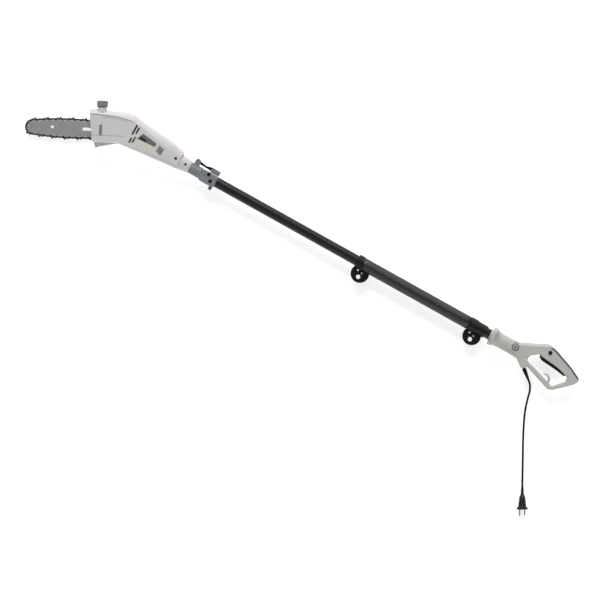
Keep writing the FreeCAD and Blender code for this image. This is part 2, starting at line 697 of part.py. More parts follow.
def gear_plate():
    """Bearing plate under the bevel gear, with ears for the bridge's posts."""
    base = along_z(22, 0, 0, FLOOR_TOP_Z, -8.5)
    ears = plate(((-6, -31, 5), (6, -31, 5), (6, 31, 5), (-6, 31, 5)), FLOOR_TOP_Z, -8.5)
    seat = along_z(12, 0, 0, FLOOR_TOP_Z, FLOOR_TOP_Z + BEARING_WIDTH)
    posts = [along_z(3.5, 0, y, -9, 16) for y in (-27, 27)]
    hole = along_z(BEARING_R, 0, 0, FLOOR_TOP_Z - 1, FLOOR_TOP_Z + BEARING_WIDTH + 1)
    return fused(base, ears, seat, *posts).cut(hole)


def bearing_bridge():
    """Bridge over the bevel gear that carries the upper spindle bearing."""
    bar = plate(((-6, -31, 5), (6, -31, 5), (6, 31, 5), (-6, 31, 5)), 16, 19)
    seat = along_z(12.5, 0, 0, 16, 22.5)
    hole = along_z(BEARING_R, 0, 0, 15, 22)
    lid_hole = along_z(6, 0, 0, 15, 25)
    return fused(bar, seat).cut([hole, lid_hole])


def ball_bearings():
    """The four ball bearings of motor and spindle."""
    return group([bearing((28.2, 0, 0), (1, 0, 0)), bearing((135, 0, 0), (1, 0, 0)),
                  bearing((0, 0, FLOOR_TOP_Z), (0, 0, 1)), bearing((0, 0, 16), (0, 0, 1))])


def oil_pump():
    """Plunger pump beside the worm."""
    body = plate(((-17, -21, 2), (-7, -21, 2), (-7, -9, 2), (-17, -9, 2)), -8.4, 2.0)
    plunger = rod(2.1, (-8.9, -10, -0.2), (-8.9, 9, -0.2))
    return fused(body, plunger)


def motor_and_gears():
    """Everything inside the head that is laid out along the motor shaft."""
    parts = {"bevel_gear": bevel_gear(), "motor_shaft": motor_shaft(), "spindle": spindle(),
             "drive_sprocket": drive_sprocket(), "motor_fan": motor_fan(), "armature": armature(),
             "commutator": commutator(), "stator_core": stator_core(), "field_coils": field_coils(),
             "brush_gear": brush_gear(), "motor_brackets": motor_brackets(),
             "gear_plate": gear_plate(), "bearing_bridge": bearing_bridge(),
             "ball_bearings": ball_bearings(), "oil_pump": oil_pump()}
    return {name: put(shape, MOTOR) for name, shape in parts.items()}


def head_screws():
    """Case screws, with their heads on the far side, and the two neck screws in view."""
    made = []
    for p in HEAD_SCREWS:
        seat = screw_seat(p)
        made.append(fused(along_z(2.0, p.x, p.y, seat - 0.2, CASE_SCREW_TOP - 1),
                          along_z(3.6, p.x, p.y, seat - 1.6, seat)))
    for (x, y), top in zip(NECK_SCREWS, (23.0, 17.4)):
        made.append(along_z(3.4, x, y, top - 3, top).cut(box(x - 2.6, x + 2.6, y - 0.5, y + 0.5,
                                                            top - 1, top + 1)))
    return group(made)


def head():
    """The powered saw head."""
    left, right = head_walls(1), head_walls(-1)
    parts = {"head_left_shell": left_shell(left), "head_right_shell": right_shell(right),
             "sprocket_cover": sprocket_cover(right)}
    neck = turned(((-167, 14.05), (-167, 19.95), (-142.7, 19.95), (-142.7, 23.2), (-138, 23.4),
                   (-124, 21.4), (-109, 18.7), (-107, 17.4), (-107, 14.05)))
    neck = neck.cut([along_z(3.5, x, y, 8, 40) for x, y in NECK_SCREWS])
    parts["head_neck"] = neck
    parts["head_screws"] = head_screws()
    parts["motor_lead"] = along_x(2.5, -190, 40)
    parts.update(motor_and_gears())
    parts.update(bar_and_chain())
    parts.update({name: put(shape, HEAD) for name, shape in oil_parts().items()})
    return parts


# ---------------------------------------------------------------- pole and clamp
def pole_tubes():
    """Both tubes, the bushes between them and the coiled lead inside."""
    inner_end, outer_start = INNER_X[1], OUTER_X[0]
    slide = INNER_R + RUNNING
    front = turned(((outer_start - 3.2, slide), (outer_start - 3.2, 16.0), (outer_start, 16.0),
                    (outer_start, OUTER_BORE), (outer_start + 24, OUTER_BORE),
                    (outer_start + 24, slide)))
    shoe = OUTER_BORE - RUNNING
    glide = turned(((inner_end - 22, INNER_R), (inner_end - 22, shoe), (inner_end, shoe),
                    (inner_end, INNER_R)))
    return {"outer_tube": pipe(OUTER_R, OUTER_BORE, (OUTER_X[0], 0, 0), (OUTER_X[1], 0, 0)),
            "inner_tube": pipe(INNER_R, INNER_BORE, (INNER_X[0], 0, 0), (INNER_X[1], 0, 0)),
            "front_bush": front, "glide_bush": glide,
            "coiled_lead": along_x(9.0, 60, 975)}


def strap_eyelet(band_start, band_end, disc_x):
    """Band round the pole with a round ear for the shoulder strap."""
    band = along_x(21.0, band_start, band_end)
    disc = along_z(EYELET_DISC_R, disc_x, EYELET_DISC_Y, -EYELET_THICK / 2, EYELET_THICK / 2)
    disc = disc.makeFillet(2.0, disc.Edges)
    holes = [along_z(STRAP_HOLE_R, disc_x, STRAP_HOLE_Y, -10, 10),
             along_z(2.4, disc_x - 10.5, EYELET_DISC_Y + 6.0, -10, 10),
             along_z(EYELET_RIVET_R, disc_x + EYELET_RIVET[0], EYELET_DISC_Y + EYELET_RIVET[1], -10, 10),
             along_x(GRIP_R + 0.3, *GRIP_X), along_x(SLEEVE_R + 0.3, *SLEEVE_X),
             along_x(OUTER_R, 400, 960)]
    return fused(band, disc).cut(holes)


def clamp():
    """Clamp collar on the front of the outer tube with its cam lever."""
    pivot_x, pivot_y = LEVER_PIVOT
    collar = along_x(17.2, -106.3, -68)
    barrel = plate(((-70, -20.6, 8), (-16, -20.6, 8), (-16, 16.5, 6), (-70, 16.5, 6)), -19.0, 19.0)
    barrel = barrel.makeFillet(5.0, [e for e in barrel.Edges if abs(e.Vertexes[0].Z) > 18.9
                                     and abs(e.Vertexes[-1].Z) > 18.9])
    ears = [plate(((pivot_x - 8.4, 4), (pivot_x + 8.4, 4), (pivot_x + 8.4, pivot_y),
                   (pivot_x - 8.4, pivot_y)), z0, z1).fuse(along_z(8.6, pivot_x, pivot_y, z0, z1))
            for z0, z1 in ((5.6, 10.0), (-10.0, -5.6))]
    lug = plate(((-30, -31, 3), (-20, -31, 3), (-20, -17), (-30, -17)), -8, 8)
    bores = [along_x(INNER_R + 0.3, -120, -65), along_x(OUTER_R, -65.2, -10)]
    body = fused(collar, barrel, lug, *ears).cut(bores)
    split = box(-70.2, -10, 1.8, 30, -25, 25)
    cap = body.common(box(-70, -10, 2.4, 30, -25, 25)).cut(box(-72, -68, 0, 30, -25, 25))
    sockets = [along_z(5.8, x, y, 16.2, 25) for x, y in ((-46.7, 8.6), (-33.5, -7.4))]
    relief = along_z(8.4, pivot_x, pivot_y, -5.5, 5.5)
    body = body.cut([split, relief, along_z(3.0, pivot_x, pivot_y, -12, 12)] + sockets)
    screws = [along_z(5.6, x, y, 16.4, 18.6).cut(along_z(2.4, x, y, 17.2, 20))
              for x, y in ((-46.7, 8.6), (-33.5, -7.4))]
    eye = along_z(8.0, pivot_x, pivot_y, -5.2, 5.2)
    arm = plate(((pivot_x, pivot_y - 4.2, 2), (-72, 22.2, 6), (-47.5, 20.5, 1), (-47.5, 32.0, 2),
                 (-66, 27.6, 8), (pivot_x, pivot_y + 5.5, 2)), -5.2, 5.2)
    lever = fused(eye, arm).cut(along_z(3.0 + RUNNING, pivot_x, pivot_y, -12, 12))
    pad = plate(((-47.5, 17.6, 2), (-18.5, 17.6, 2), (-18.5, 31.5, 3), (-47.5, 33.2, 2)), -11, 11)
    knurls = [along_z(0.9, x, 32.9 - (x + 47.5) * 0.055, -12, 12) for x in range(-44, -20, 4)]
    pads = pad.cut(knurls)
    return {"clamp_body": body, "clamp_cap": cap.cut(sockets), "clamp_screws": group(screws),
            "clamp_lever": lever, "lever_pad": pads}


def pole():
    """Pole, shoulder-strap eyelets, foam grip and clamp."""
    parts = pole_tubes()
    for name, places in zip(("front_strap_eyelet", "rear_strap_eyelet"), EYELETS):
        parts[name] = strap_eyelet(*places)
    rivets = [along_z(EYELET_RIVET_R, x + EYELET_RIVET[0], EYELET_DISC_Y + EYELET_RIVET[1], -4, 4.6)
              for _, _, x in EYELETS]
    parts["foam_grip"] = pipe(GRIP_R, OUTER_R, (GRIP_X[0], 0, 0), (GRIP_X[1], 0, 0))
    sleeve = pipe(SLEEVE_R, OUTER_R, (SLEEVE_X[0], 0, 0), (SLEEVE_X[1], 0, 0))
    parts["grip_end_sleeve"] = sleeve
    parts.update(clamp())
    parts["pole_fasteners"] = group(rivets + parts.pop("clamp_screws").Solids)
    return parts


# ---------------------------------------------------------------- rear handle
HANDLE_OUTLINE = (
    (996, 21.5), (1012, 23.5, 20), (1092, 62, 14), (1124, 54, 60), (1186, 31, 60), (1226, 10.5, 9),
    (1214, -9, 14), (1166, -54.5, 12), (1152, -58.7, 10), (1068, -29.5, 4),
    (1054, -42.5, 5), (1026, -22.2, 8), (996, -21.5))
HAND_OPENING = (
    (1055.5, -12.5, 7), (1057.5, 3.5, 8), (1080, 20.5, 5), (1096, 17.5, 8), (1148, 12.0, 30),
    (1189, 0.5, 6), (1189.3, -13, 8), (1159, -45.5, 7), (1134, -36.4, 20))
BACK_PAD = ((1104, 40), (1204, 2), (1240, 20), (1120, 80))
EDGE_RUN = ((1012, 23.5), (1094, 63.0))     # top edge of the loop, bevelled on both faces
BEVEL_ACROSS, BEVEL_DOWN = 9.0, 5.0


def edge_bevel(inset):
    """What the bevel along the loop's top edge takes off both faces."""
    start, end = vec(*EDGE_RUN[0]), vec(*EDGE_RUN[1])
    slope = math.hypot(BEVEL_ACROSS, BEVEL_DOWN)
    in_y, in_z = inset * BEVEL_DOWN / slope, inset * BEVEL_ACROSS / slope
    high_y, high_z = -1.2 * BEVEL_ACROSS - in_y, HANDLE_HALF + 0.2 * BEVEL_DOWN - in_z
    low_y, low_z = 0.5 * BEVEL_ACROSS - in_y, HANDLE_HALF - 1.5 * BEVEL_DOWN - in_z
    corners = ((high_y, high_z), (low_y, low_z), (low_y + 4, low_z), (low_y + 4, 20), (high_y, 20))
    frame = FreeCAD.Placement(start, FreeCAD.Rotation(vec(1, 0, 0), end - start))
    wedges = []
    for face in (1, -1):
        outline = Part.makePolygon([vec(0, y, face * z) for y, z in corners + corners[:1]])
        wedges.append(put(Part.Face(outline).extrude(vec((end - start).Length, 0, 0)), frame))
    return wedges


def handle_body(inset):
    """The handle's outside, or its cavity, with the barrel that goes over the pole."""
    half = HANDLE_HALF - inset
    outline = Part.Face(rounded_wire(HANDLE_OUTLINE, -half))
    opening = Part.Face(rounded_wire(HAND_OPENING, -half))
    if inset:
        outline = outline.makeOffset2D(-inset)
        opening = opening.makeOffset2D(inset)
    grip = outline.cut(opening).extrude(vec(0, 0, 2 * half))
    if inset:
        return grip.cut(edge_bevel(inset))
    rims = [e for e in grip.Edges if abs(abs(e.CenterOfMass.z) - half) < 1e-3]
    return grip.makeFillet(HANDLE_EDGE, rims).cut(edge_bevel(0.0))


BARREL = ((934, -27.5, 27.5, 32, 26), (943, -25, 25, 26.5, 24), (953, -22.7, 22.7, 22.8, 21.8),
          (998, -22, 22, 21.5, 20), (1012, -22.5, 23.5, 20.3, 15), (1028, -24, 29, 18.2, 9),
          (1042, -27, 29, HANDLE_HALF, 5))


def barrel_section(x, low, high, half, corner):
    """Rounded cross-section of the handle's barrel at one place along the pole."""
    wire = rounded_wire(((low, -half, corner), (high, -half, corner), (high, half, corner),
                         (low, half, corner)))
    return wire.transformGeometry(FreeCAD.Matrix(0, 0, 1, x, 1, 0, 0, 0, 0, 1, 0, 0, 0, 0, 0, 1))


def handle_shells():
    """Both halves of the handle."""
    grip, cavity = handle_body(0), handle_body(WALL)
    flange = box(928, 938, -28, 28, -AXIS_HEIGHT, AXIS_HEIGHT)
    flange = flange.makeFillet(20.0, [e for e in flange.Edges if abs(e.CenterOfMass.x - 933) < 1e-3
                                      and e.Length < 11])
    ring = along_x(17.8, 922, 930)
    barrel = Part.makeLoft([barrel_section(*station) for station in BARREL], True, True)
    hollow = turned(((940, 0), (940, 19), (1000, 19), (1014, 15), (1014, 0)))
    stop = along_x(OUTER_R, 910, 985.2)
    collars = [pipe(19.2, OUTER_R, (x, 0, 0), (x + 4, 0, 0)) for x in (946, 976)]
    room = fused(cavity, hollow).cut(collars)
    lock_x, lock_y = LOCK_AT
    trigger_x, trigger_y = TRIGGER_PIVOT
    seats = [along_z(6.0, lock_x, lock_y, -16, -2), pipe(5.0, 2.0, (trigger_x, trigger_y, -16),
                                                         (trigger_x, trigger_y, -7.4))]
    seats += [along_z(4.0, x, y, -16, 16) for x, y in HANDLE_SCREWS]
    body = fused(grip, barrel, flange, ring).cut([room, stop])
    slot = plate(((1083, 4), (1180.4, -12), (1180.4, 13), (1083, 27)), -7.4, 7.4)
    body = body.cut(slot)
    hook_points = ((1120.5, -28, 1), (1120.5, -22.5, 2), (1131, -18.2, 6), (1146, -26.5, 6),
                   (1148.5, -43, 0), (1142.5, -43, 0), (1140.6, -30.5, 4), (1131, -24.4, 4), (1123, -26, 1))
    hook = plate(hook_points, -6, 6)
    relief_hole = rod(5.4, RELIEF_ROOT, CORD_ROUTE[0])
    body = fused(body, *[seat.common(grip) for seat in seats], hook.cut(cavity))
    drill = [along_z(1.6, x, y, -20, 14) for x, y in HANDLE_SCREWS]
    drill += [along_z(3.4, x, y, -20, -13) for x, y in HANDLE_SCREWS]
    drill.append(along_z(LOCK_R + RUNNING, lock_x, lock_y, 5, 20))
    drill.append(along_z(2.0, trigger_x, trigger_y, -12, 12))
    body = body.cut(drill + [relief_hole])
    return above(body), below(body)


def trigger_parts():
    """Trigger, its pin and switch, and the lock-off button with its spring."""
    x, y = TRIGGER_PIVOT
    lock_x, lock_y = LOCK_AT
    trigger = plate(((1084.5, 20, 2), (1084.5, 14.5, 3), (1096, 8.0, 6), (1148, 3.6, 40), (x + 4, -1.5, 3),
                     (x + 4, 8.5, 3), (1150, 15, 5), (1096, 21.5, 3)), -7.0, 7.0)
    trigger = trigger.makeFillet(1.8, [e for e in trigger.Edges if abs(abs(e.CenterOfMass.z) - 7) < 1e-3])
    trigger = trigger.cut(along_z(2.0 + RUNNING, x, y, -10, 10))
    switch = fused(box(1124, 1150, 22.5, 37, -8, 8), box(1128, 1132, 21.3, 23, -2, 2))
    button = fused(along_z(LOCK_R, lock_x, lock_y, 8, 18.4),
                   turned(((18.2, 0), (18.2, LOCK_R), (19.0, LOCK_R - 0.3), (19.6, LOCK_R - 1.4),
                           (19.8, 0)), (lock_x, lock_y, 0), (0, 0, 1)))
    spring = pipe(4.6, 3.4, (lock_x, lock_y, -2), (lock_x, lock_y, 7.9))
    return {"trigger": trigger, "trigger_switch": switch, "lock_off_button": button,
            "lock_spring": spring, "hinge_pins": group([
                along_z(2.0, x, y, -12, 12), along_z(3.0, *LEVER_PIVOT, -10.6, 10.6)])}


def handle():
    """Rear handle with its controls."""
    left, right = handle_shells()
    parts = {"handle_left_shell": left, "handle_right_shell": right}
    screws = [fused(along_z(1.6, x, y, -14, 12), along_z(3.2, x, y, -15.4, -13)) for x, y in HANDLE_SCREWS]
    parts["handle_screws"] = group(screws)
    outline = Part.Face(rounded_wire(HANDLE_OUTLINE, -10))
    strip = outline.makeOffset2D(1.2).cut(outline).extrude(vec(0, 0, 20))
    parts["back_grip_pad"] = strip.common(plate(BACK_PAD, -20, 20))
    parts.update(trigger_parts())
    return parts


# ---------------------------------------------------------------- cord and plug
def cord_tube(route, radius):
    """A tube of straight runs joined by tangent arcs."""
    points = [vec(*p) for p in route]
    start = points[0]
    edges = []
    radii = []
    for last, corner, following in zip(points, points[1:], points[2:]):
        to_last, to_next = last - corner, following - corner
        shorter = min(to_last.Length, to_next.Length)
        to_last.normalize()
        to_next.normalize()
        half_turn = (math.pi - to_last.getAngle(to_next)) / 2
        bend = 0.45 * shorter / math.tan(half_turn)
        reach = 0.45 * shorter
        begin, end = corner + to_last * reach, corner + to_next * reach
        inward = (to_last + to_next).normalize()
        centre = corner + inward * math.hypot(bend, reach)
        middle = centre - inward * bend
        edges.append(Part.LineSegment(start, begin).toShape())
        edges.append(Part.Arc(begin, middle, end).toShape())
        radii.append(bend)
        start = end
    edges.append(Part.LineSegment(start, points[-1]).toShape())
    path = Part.Wire(edges)
    circle = Part.Wire(Part.makeCircle(radius, points[0], points[1] - points[0]))
    tube = path.makePipeShell([circle], True, True)
    print("cord length", round(path.Length, 1), "bend radii", [round(r) for r in radii])
    print("cord volume over section x length", tube.Volume / (math.pi * radius ** 2 * path.Length))
    return tube


def power_cord():
    """Short supply cord with its strain relief and two-pin plug."""
    root, start = vec(*RELIEF_ROOT), vec(*CORD_ROUTE[0])
    length = (start - root).Length
    relief = turned(((-1, 0), (-1, 5.3), (3, 5.3), (3, 7.0), (5, 7.2), (length, 3.9), (length, 0)),
                    RELIEF_ROOT, tuple(start - root))
    tail, before = vec(*CORD_ROUTE[-1]), vec(*CORD_ROUTE[-2])
    axis = (tail - before).normalize()
    body = turned(((0, 0), (0, 4.2), (20, 4.8), (27, 8.2), (46, 11), (58, 12.2), (60, PLUG_FLANGE_R - 0.8),
                   (61, PLUG_FLANGE_R), (PLUG_LENGTH, PLUG_FLANGE_R), (PLUG_LENGTH, 0)),
                  CORD_ROUTE[-1], tuple(axis))
    face = tail + axis * PLUG_LENGTH
    across = axis.cross(Z_UP).normalize()
    spread = FreeCAD.Rotation(axis, PIN_TURN).multVec(across) * (PIN_SPACING / 2)
    pin = ((-4.0, 0), (-4.0, PIN_R - 0.4), (0.0, PIN_R - 0.4), (0.0, PIN_R),
           (PIN_LENGTH - PIN_TIP, PIN_R), (PIN_LENGTH, PIN_R - PIN_TIP), (PIN_LENGTH, 0))
    pins = [turned(pin, tuple(face + spread * side), tuple(axis)) for side in (1, -1)]
    return {"strain_relief": relief, "power_cord": cord_tube(CORD_ROUTE, CORD_R),
            "plug_body": body.cut(pins), "plug_pins": group(pins)}


CORD_NODES = ("power_cord", "plug_body", "plug_pins")


def assembly():
    """Every sub-part in the pole frame."""
    parts = pole()
    parts.update(head())
    parts.update(handle())
    parts.update(power_cord())
    return parts


def model_shift(parts):
    """The move that puts the origin at the middle of the footprint on the floor."""
    bounds = group([shape for name, shape in parts.items() if name not in CORD_NODES]).BoundBox
    return vec(-bounds.Center.x, -bounds.Center.y, AXIS_HEIGHT)


def main():
    """Build every sub-part and write it to its own file."""
    os.makedirs("parts", exist_ok=True)
    parts = assembly()
    shift = model_shift(parts)
    print("shift", shift)
    for name, shape in parts.items():
        placed = shape.copy()
        placed.translate(shift)
        placed.exportStep(os.path.join("parts", name + ".step"))
        print(name, "valid" if placed.isValid() else "INVALID", len(placed.Solids), round(placed.Volume))
    print(len(parts), "nodes")


if __name__ == "__main__":
    main()
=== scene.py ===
"""Looks of a telescoping electric pole saw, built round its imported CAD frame.

The saw lies on its right side on a pale floor, with its short supply cord loose beside it.
Lengths are metres in the row frame. Names that end in _MM or _mm are millimetres in one of
two drawing frames: the pole frame, with its origin on the pole's axis and +X towards the
handle, and the head frame, with +X back along the guide bar.
"""

import json
import logging
import math
from dataclasses import dataclass, field
from enum import Enum
from typing import Callable, Iterable, Sequence

import bmesh
import bpy
from mathutils import Matrix, Vector
from mathutils.bvhtree import BVHTree


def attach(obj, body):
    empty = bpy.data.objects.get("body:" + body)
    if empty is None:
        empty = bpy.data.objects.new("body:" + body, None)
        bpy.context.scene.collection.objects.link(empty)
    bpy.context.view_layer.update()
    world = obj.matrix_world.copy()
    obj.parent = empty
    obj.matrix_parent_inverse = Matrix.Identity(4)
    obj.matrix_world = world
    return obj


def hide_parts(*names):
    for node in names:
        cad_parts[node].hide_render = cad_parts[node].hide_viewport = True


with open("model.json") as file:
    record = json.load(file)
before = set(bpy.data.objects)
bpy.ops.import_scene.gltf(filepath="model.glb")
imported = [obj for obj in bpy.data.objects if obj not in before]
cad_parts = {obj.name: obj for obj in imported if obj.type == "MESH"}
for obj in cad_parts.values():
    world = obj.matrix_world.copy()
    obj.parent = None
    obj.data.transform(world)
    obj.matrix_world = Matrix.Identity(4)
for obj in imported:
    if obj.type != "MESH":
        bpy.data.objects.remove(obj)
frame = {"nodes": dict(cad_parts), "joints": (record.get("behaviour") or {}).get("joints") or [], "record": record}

LOG = logging.getLogger("pole_saw")
MM = 0.001
MERGE_DISTANCE = 1e-6
HOVER_MM = 60.0    # height over the pole's axis from which thin pieces are laid down
ROOT_DEPTH = 2.5   # depth of a laid piece below its top, in thicknesses
DOWN = Vector((0.0, 0.0, -1.0))
MIX_SHARE, MIX_FIRST, MIX_SECOND, MIX_COLOUR = 0, 6, 7, 2   # sockets of a Mix node on colours
Colour = tuple[float, float, float]
Profile = Sequence[tuple[float, float]]
Sockets = dict[str, bpy.types.NodeSocket]


class Body(str, Enum):
    """CAD bodies that the new pieces ride on."""

    POLE = "pole"
    HEAD = "head"
    CAP = "filler_cap"


class Axis(Enum):
    """How a brushed finish is stretched, so that its streaks run one way."""

    X = (1.0, 60.0, 60.0)
    Y = (60.0, 1.0, 60.0)
    BAR = (2.0, 60.0, 60.0)


# ------------------------------------------------------------------ drawing frames
@dataclass(frozen=True)
class DrawingFrame:
    """A frame in which sizes are given in millimetres.

    Attributes:
        origin: its origin in the row frame, in metres.
        turn: its turn about +Z, in radians.
    """

    origin: Vector
    turn: float = 0.0

    @property
    def matrix(self) -> Matrix:
        """Turns metres of this frame into metres of the row frame."""
        return Matrix.Translation(self.origin) @ Matrix.Rotation(self.turn, 4, "Z")

    def point(self, x: float, y: float, z: float = 0.0) -> Vector:
        """Place of a point given in millimetres.

        Args:
            x: distance along the frame's own X.
            y: distance along its own Y.
            z: height above the pole's axis.

        Returns:
            The point in the row frame, in metres.
        """
        return self.matrix @ Vector((x * MM, y * MM, z * MM))

    def direction(self, x: float, y: float, z: float = 0.0) -> Vector:
        """A direction of this frame, in the row frame."""
        return (Matrix.Rotation(self.turn, 3, "Z") @ Vector((x, y, z))).normalized()


def joint_place(name: str) -> Vector:
    """Point that a joint of the frame turns about.

    Args:
        name: name of the joint.

    Returns:
        The point in the row frame, in metres.

    Raises:
        ValueError: when the frame has no such joint.
    """
    for joint in frame["joints"]:
        if joint["name"] == name:
            return Vector(joint["pos_m"])
    raise ValueError(f"the frame has no joint named {name}")


LEVER_PIVOT_MM = (-93.8, 26.7)
HEAD_ORIGIN_MM = (-363.7, -14.7)
HEAD_TURN = math.radians(26.56)

POLE = DrawingFrame(joint_place("cam_lever_swing") - Vector((*LEVER_PIVOT_MM, 0.0)) * MM)
HEAD = DrawingFrame(POLE.point(*HEAD_ORIGIN_MM), HEAD_TURN)


# ------------------------------------------------------------------ shader groups
class Tree:
    """Short hand for adding nodes to a node tree."""

    def __init__(self, tree: bpy.types.NodeTree) -> None:
        """Wraps a tree and drops whatever it holds."""
        self.tree = tree
        tree.nodes.clear()

    def add(self, kind: str, settings: dict | None = None, **values: object) -> bpy.types.Node:
        """Adds a node.

        Args:
            kind: the node's type name.
            settings: properties of the node itself.
            **values: values or sockets for inputs, by name with underscores for spaces.

        Returns:
            The new node.
        """
        node = self.tree.nodes.new(kind)
        for name, value in (settings or {}).items():
            setattr(node, name, value)
        for name, value in values.items():
            self.feed(node.inputs[name.replace("_", " ")], value)
        return node

    def feed(self, socket: bpy.types.NodeSocket, value: object) -> None:
        """Links another socket to this one, or sets its value.

        Args:
            socket: input socket to feed.
            value: output socket to link, or a plain value.
        """
        if isinstance(value, bpy.types.NodeSocket):
            self.tree.links.new(value, socket)
        else:
            socket.default_value = value

    def maths(self, operation: str, *values: object) -> bpy.types.NodeSocket:
        """Adds a Math node.

        Args:
            operation: what the node works out.
            *values: up to three numbers or sockets.

        Returns:
            The socket with the result.
        """
        node = self.tree.nodes.new("ShaderNodeMath")
        node.operation = operation
        for socket, value in zip(node.inputs, values):
            self.feed(socket, value)
        return node.outputs[0]

    def ramp(self, value: object, low: float, high: float, to_low: float = 0.0,
             to_high: float = 1.0) -> bpy.types.NodeSocket:
        """Moves a value smoothly from one range to another, and holds it inside that.

        Args:
            value: number or socket.
            low: value that gives to_low.
            high: value that gives to_high.
            to_low: low end of the new range.
            to_high: high end of the new range.

        Returns:
            The socket with the new value.
        """
        node = self.add("ShaderNodeMapRange", {"interpolation_type": "SMOOTHSTEP"}, Value=value)
        for name, number in (("From Min", low), ("From Max", high), ("To Min", to_low),
                             ("To Max", to_high)):
            self.feed(node.inputs[name], number)
        return node.outputs[0]

    def mixed(self, share: object, first: object, second: object,
              blend: str = "MIX") -> bpy.types.NodeSocket:
        """Adds a node that mixes two colours.

        Args:
            share: share of the second colour.
            first: first colour.
            second: second colour.
            blend: how the two are mixed.

        Returns:
            The socket with the mixed colour.
        """
        node = self.tree.nodes.new("ShaderNodeMix")
        node.data_type = "RGBA"
        node.blend_type = blend
        self.feed(node.inputs[MIX_SHARE], share)
        self.feed(node.inputs[MIX_FIRST], first)
        self.feed(node.inputs[MIX_SECOND], second)
        return node.outputs[MIX_COLOUR]


@dataclass
class ShaderGroup:
    """A shader node group with named inputs and outputs, built once and used by many finishes.

    Attributes:
        name: name of the group.
        inputs: socket name to socket type and first value.
        outputs: socket name to socket type.
        draw: function that fills the group and returns a socket for each output.
    """

    name: str
    inputs: dict[str, tuple[str, object]]
    outputs: dict[str, str]
    draw: Callable[[Tree, Sockets], Sockets]

    def tree(self) -> bpy.types.NodeTree:
        """Makes the group the first time it is asked for.

        Returns:
            The group's node tree.
        """
        found = bpy.data.node_groups.get(self.name)
        if found:
            return found
        made = bpy.data.node_groups.new(self.name, "ShaderNodeTree")
        for name, (kind, value) in self.inputs.items():
            socket = made.interface.new_socket(name, in_out="INPUT", socket_type=kind)
            socket.default_value = value
        for name, kind in self.outputs.items():
            made.interface.new_socket(name, in_out="OUTPUT", socket_type=kind)
        tree = Tree(made)
        source = made.nodes.new("NodeGroupInput")
        target = made.nodes.new("NodeGroupOutput")
        found_inputs = {name: source.outputs[name] for name in self.inputs}
        for name, socket in self.draw(tree, found_inputs).items():
            made.links.new(socket, target.inputs[name])
        return made

    def place(self, tree: Tree, **values: object) -> bpy.types.Node:
        """Adds the group to a material's tree.

        Args:
            tree: the material's tree.
            **values: input values, by name with underscores for spaces.

        Returns:
            The group node.
        """
        return tree.add("ShaderNodeGroup", {"node_tree": self.tree()}, **values)


FLOAT, RGBA, VECTOR = "NodeSocketFloat", "NodeSocketColor", "NodeSocketVector"
WHITE = (1.0, 1.0, 1.0, 1.0)


def draw_moulded(tree: Tree, given: Sockets) -> Sockets:
    """Spark-eroded plastic: a fine pebbled grain, cloudy tint and rubbed patches.

    Args:
        tree: the group's tree.
        given: the group's input sockets by name.

    Returns:
        A socket for each of the group's outputs.
    """
    place = tree.add("ShaderNodeTexCoord").outputs["Object"]
    grain = tree.add("ShaderNodeTexNoise", Vector=place, Scale=given["Grain Scale"], Detail=3.0,
                     Roughness=0.6)
    cloud = tree.add("ShaderNodeTexNoise", Vector=place, Scale=9.0, Detail=4.0, Roughness=0.55)
    rub = tree.add("ShaderNodeTexNoise", Vector=place, Scale=38.0, Detail=6.0, Roughness=0.7)
    tint = tree.ramp(cloud.outputs["Fac"], 0.3, 0.7, -1.0, 1.0)
    value = tree.maths("MULTIPLY_ADD", tint, given["Cloud"], 1.0)
    shade = tree.add("ShaderNodeHueSaturation", Color=given["Colour"], Value=value)
    rubbed = tree.ramp(rub.outputs["Fac"], 0.56, 0.74)
    rubbed = tree.maths("MULTIPLY", rubbed, given["Rub"])
    colour = tree.mixed(rubbed, shade.outputs["Color"], given["Rub Colour"])
    gloss = tree.maths("MULTIPLY_ADD", rubbed, -0.18, given["Roughness"])
    gloss = tree.maths("MULTIPLY_ADD", tree.maths("SUBTRACT", grain.outputs["Fac"], 0.5), 0.16, gloss)
    return {"Colour": colour, "Roughness": gloss, "Height": grain.outputs["Fac"]}


MOULDED = ShaderGroup(
    "moulded_plastic_grain",
    {"Colour": (RGBA, WHITE), "Rub Colour": (RGBA, WHITE), "Grain Scale": (FLOAT, 1600.0),
     "Cloud": (FLOAT, 0.02), "Rub": (FLOAT, 0.1), "Roughness": (FLOAT, 0.5)},
    {"Colour": RGBA, "Roughness": FLOAT, "Height": FLOAT}, draw_moulded)


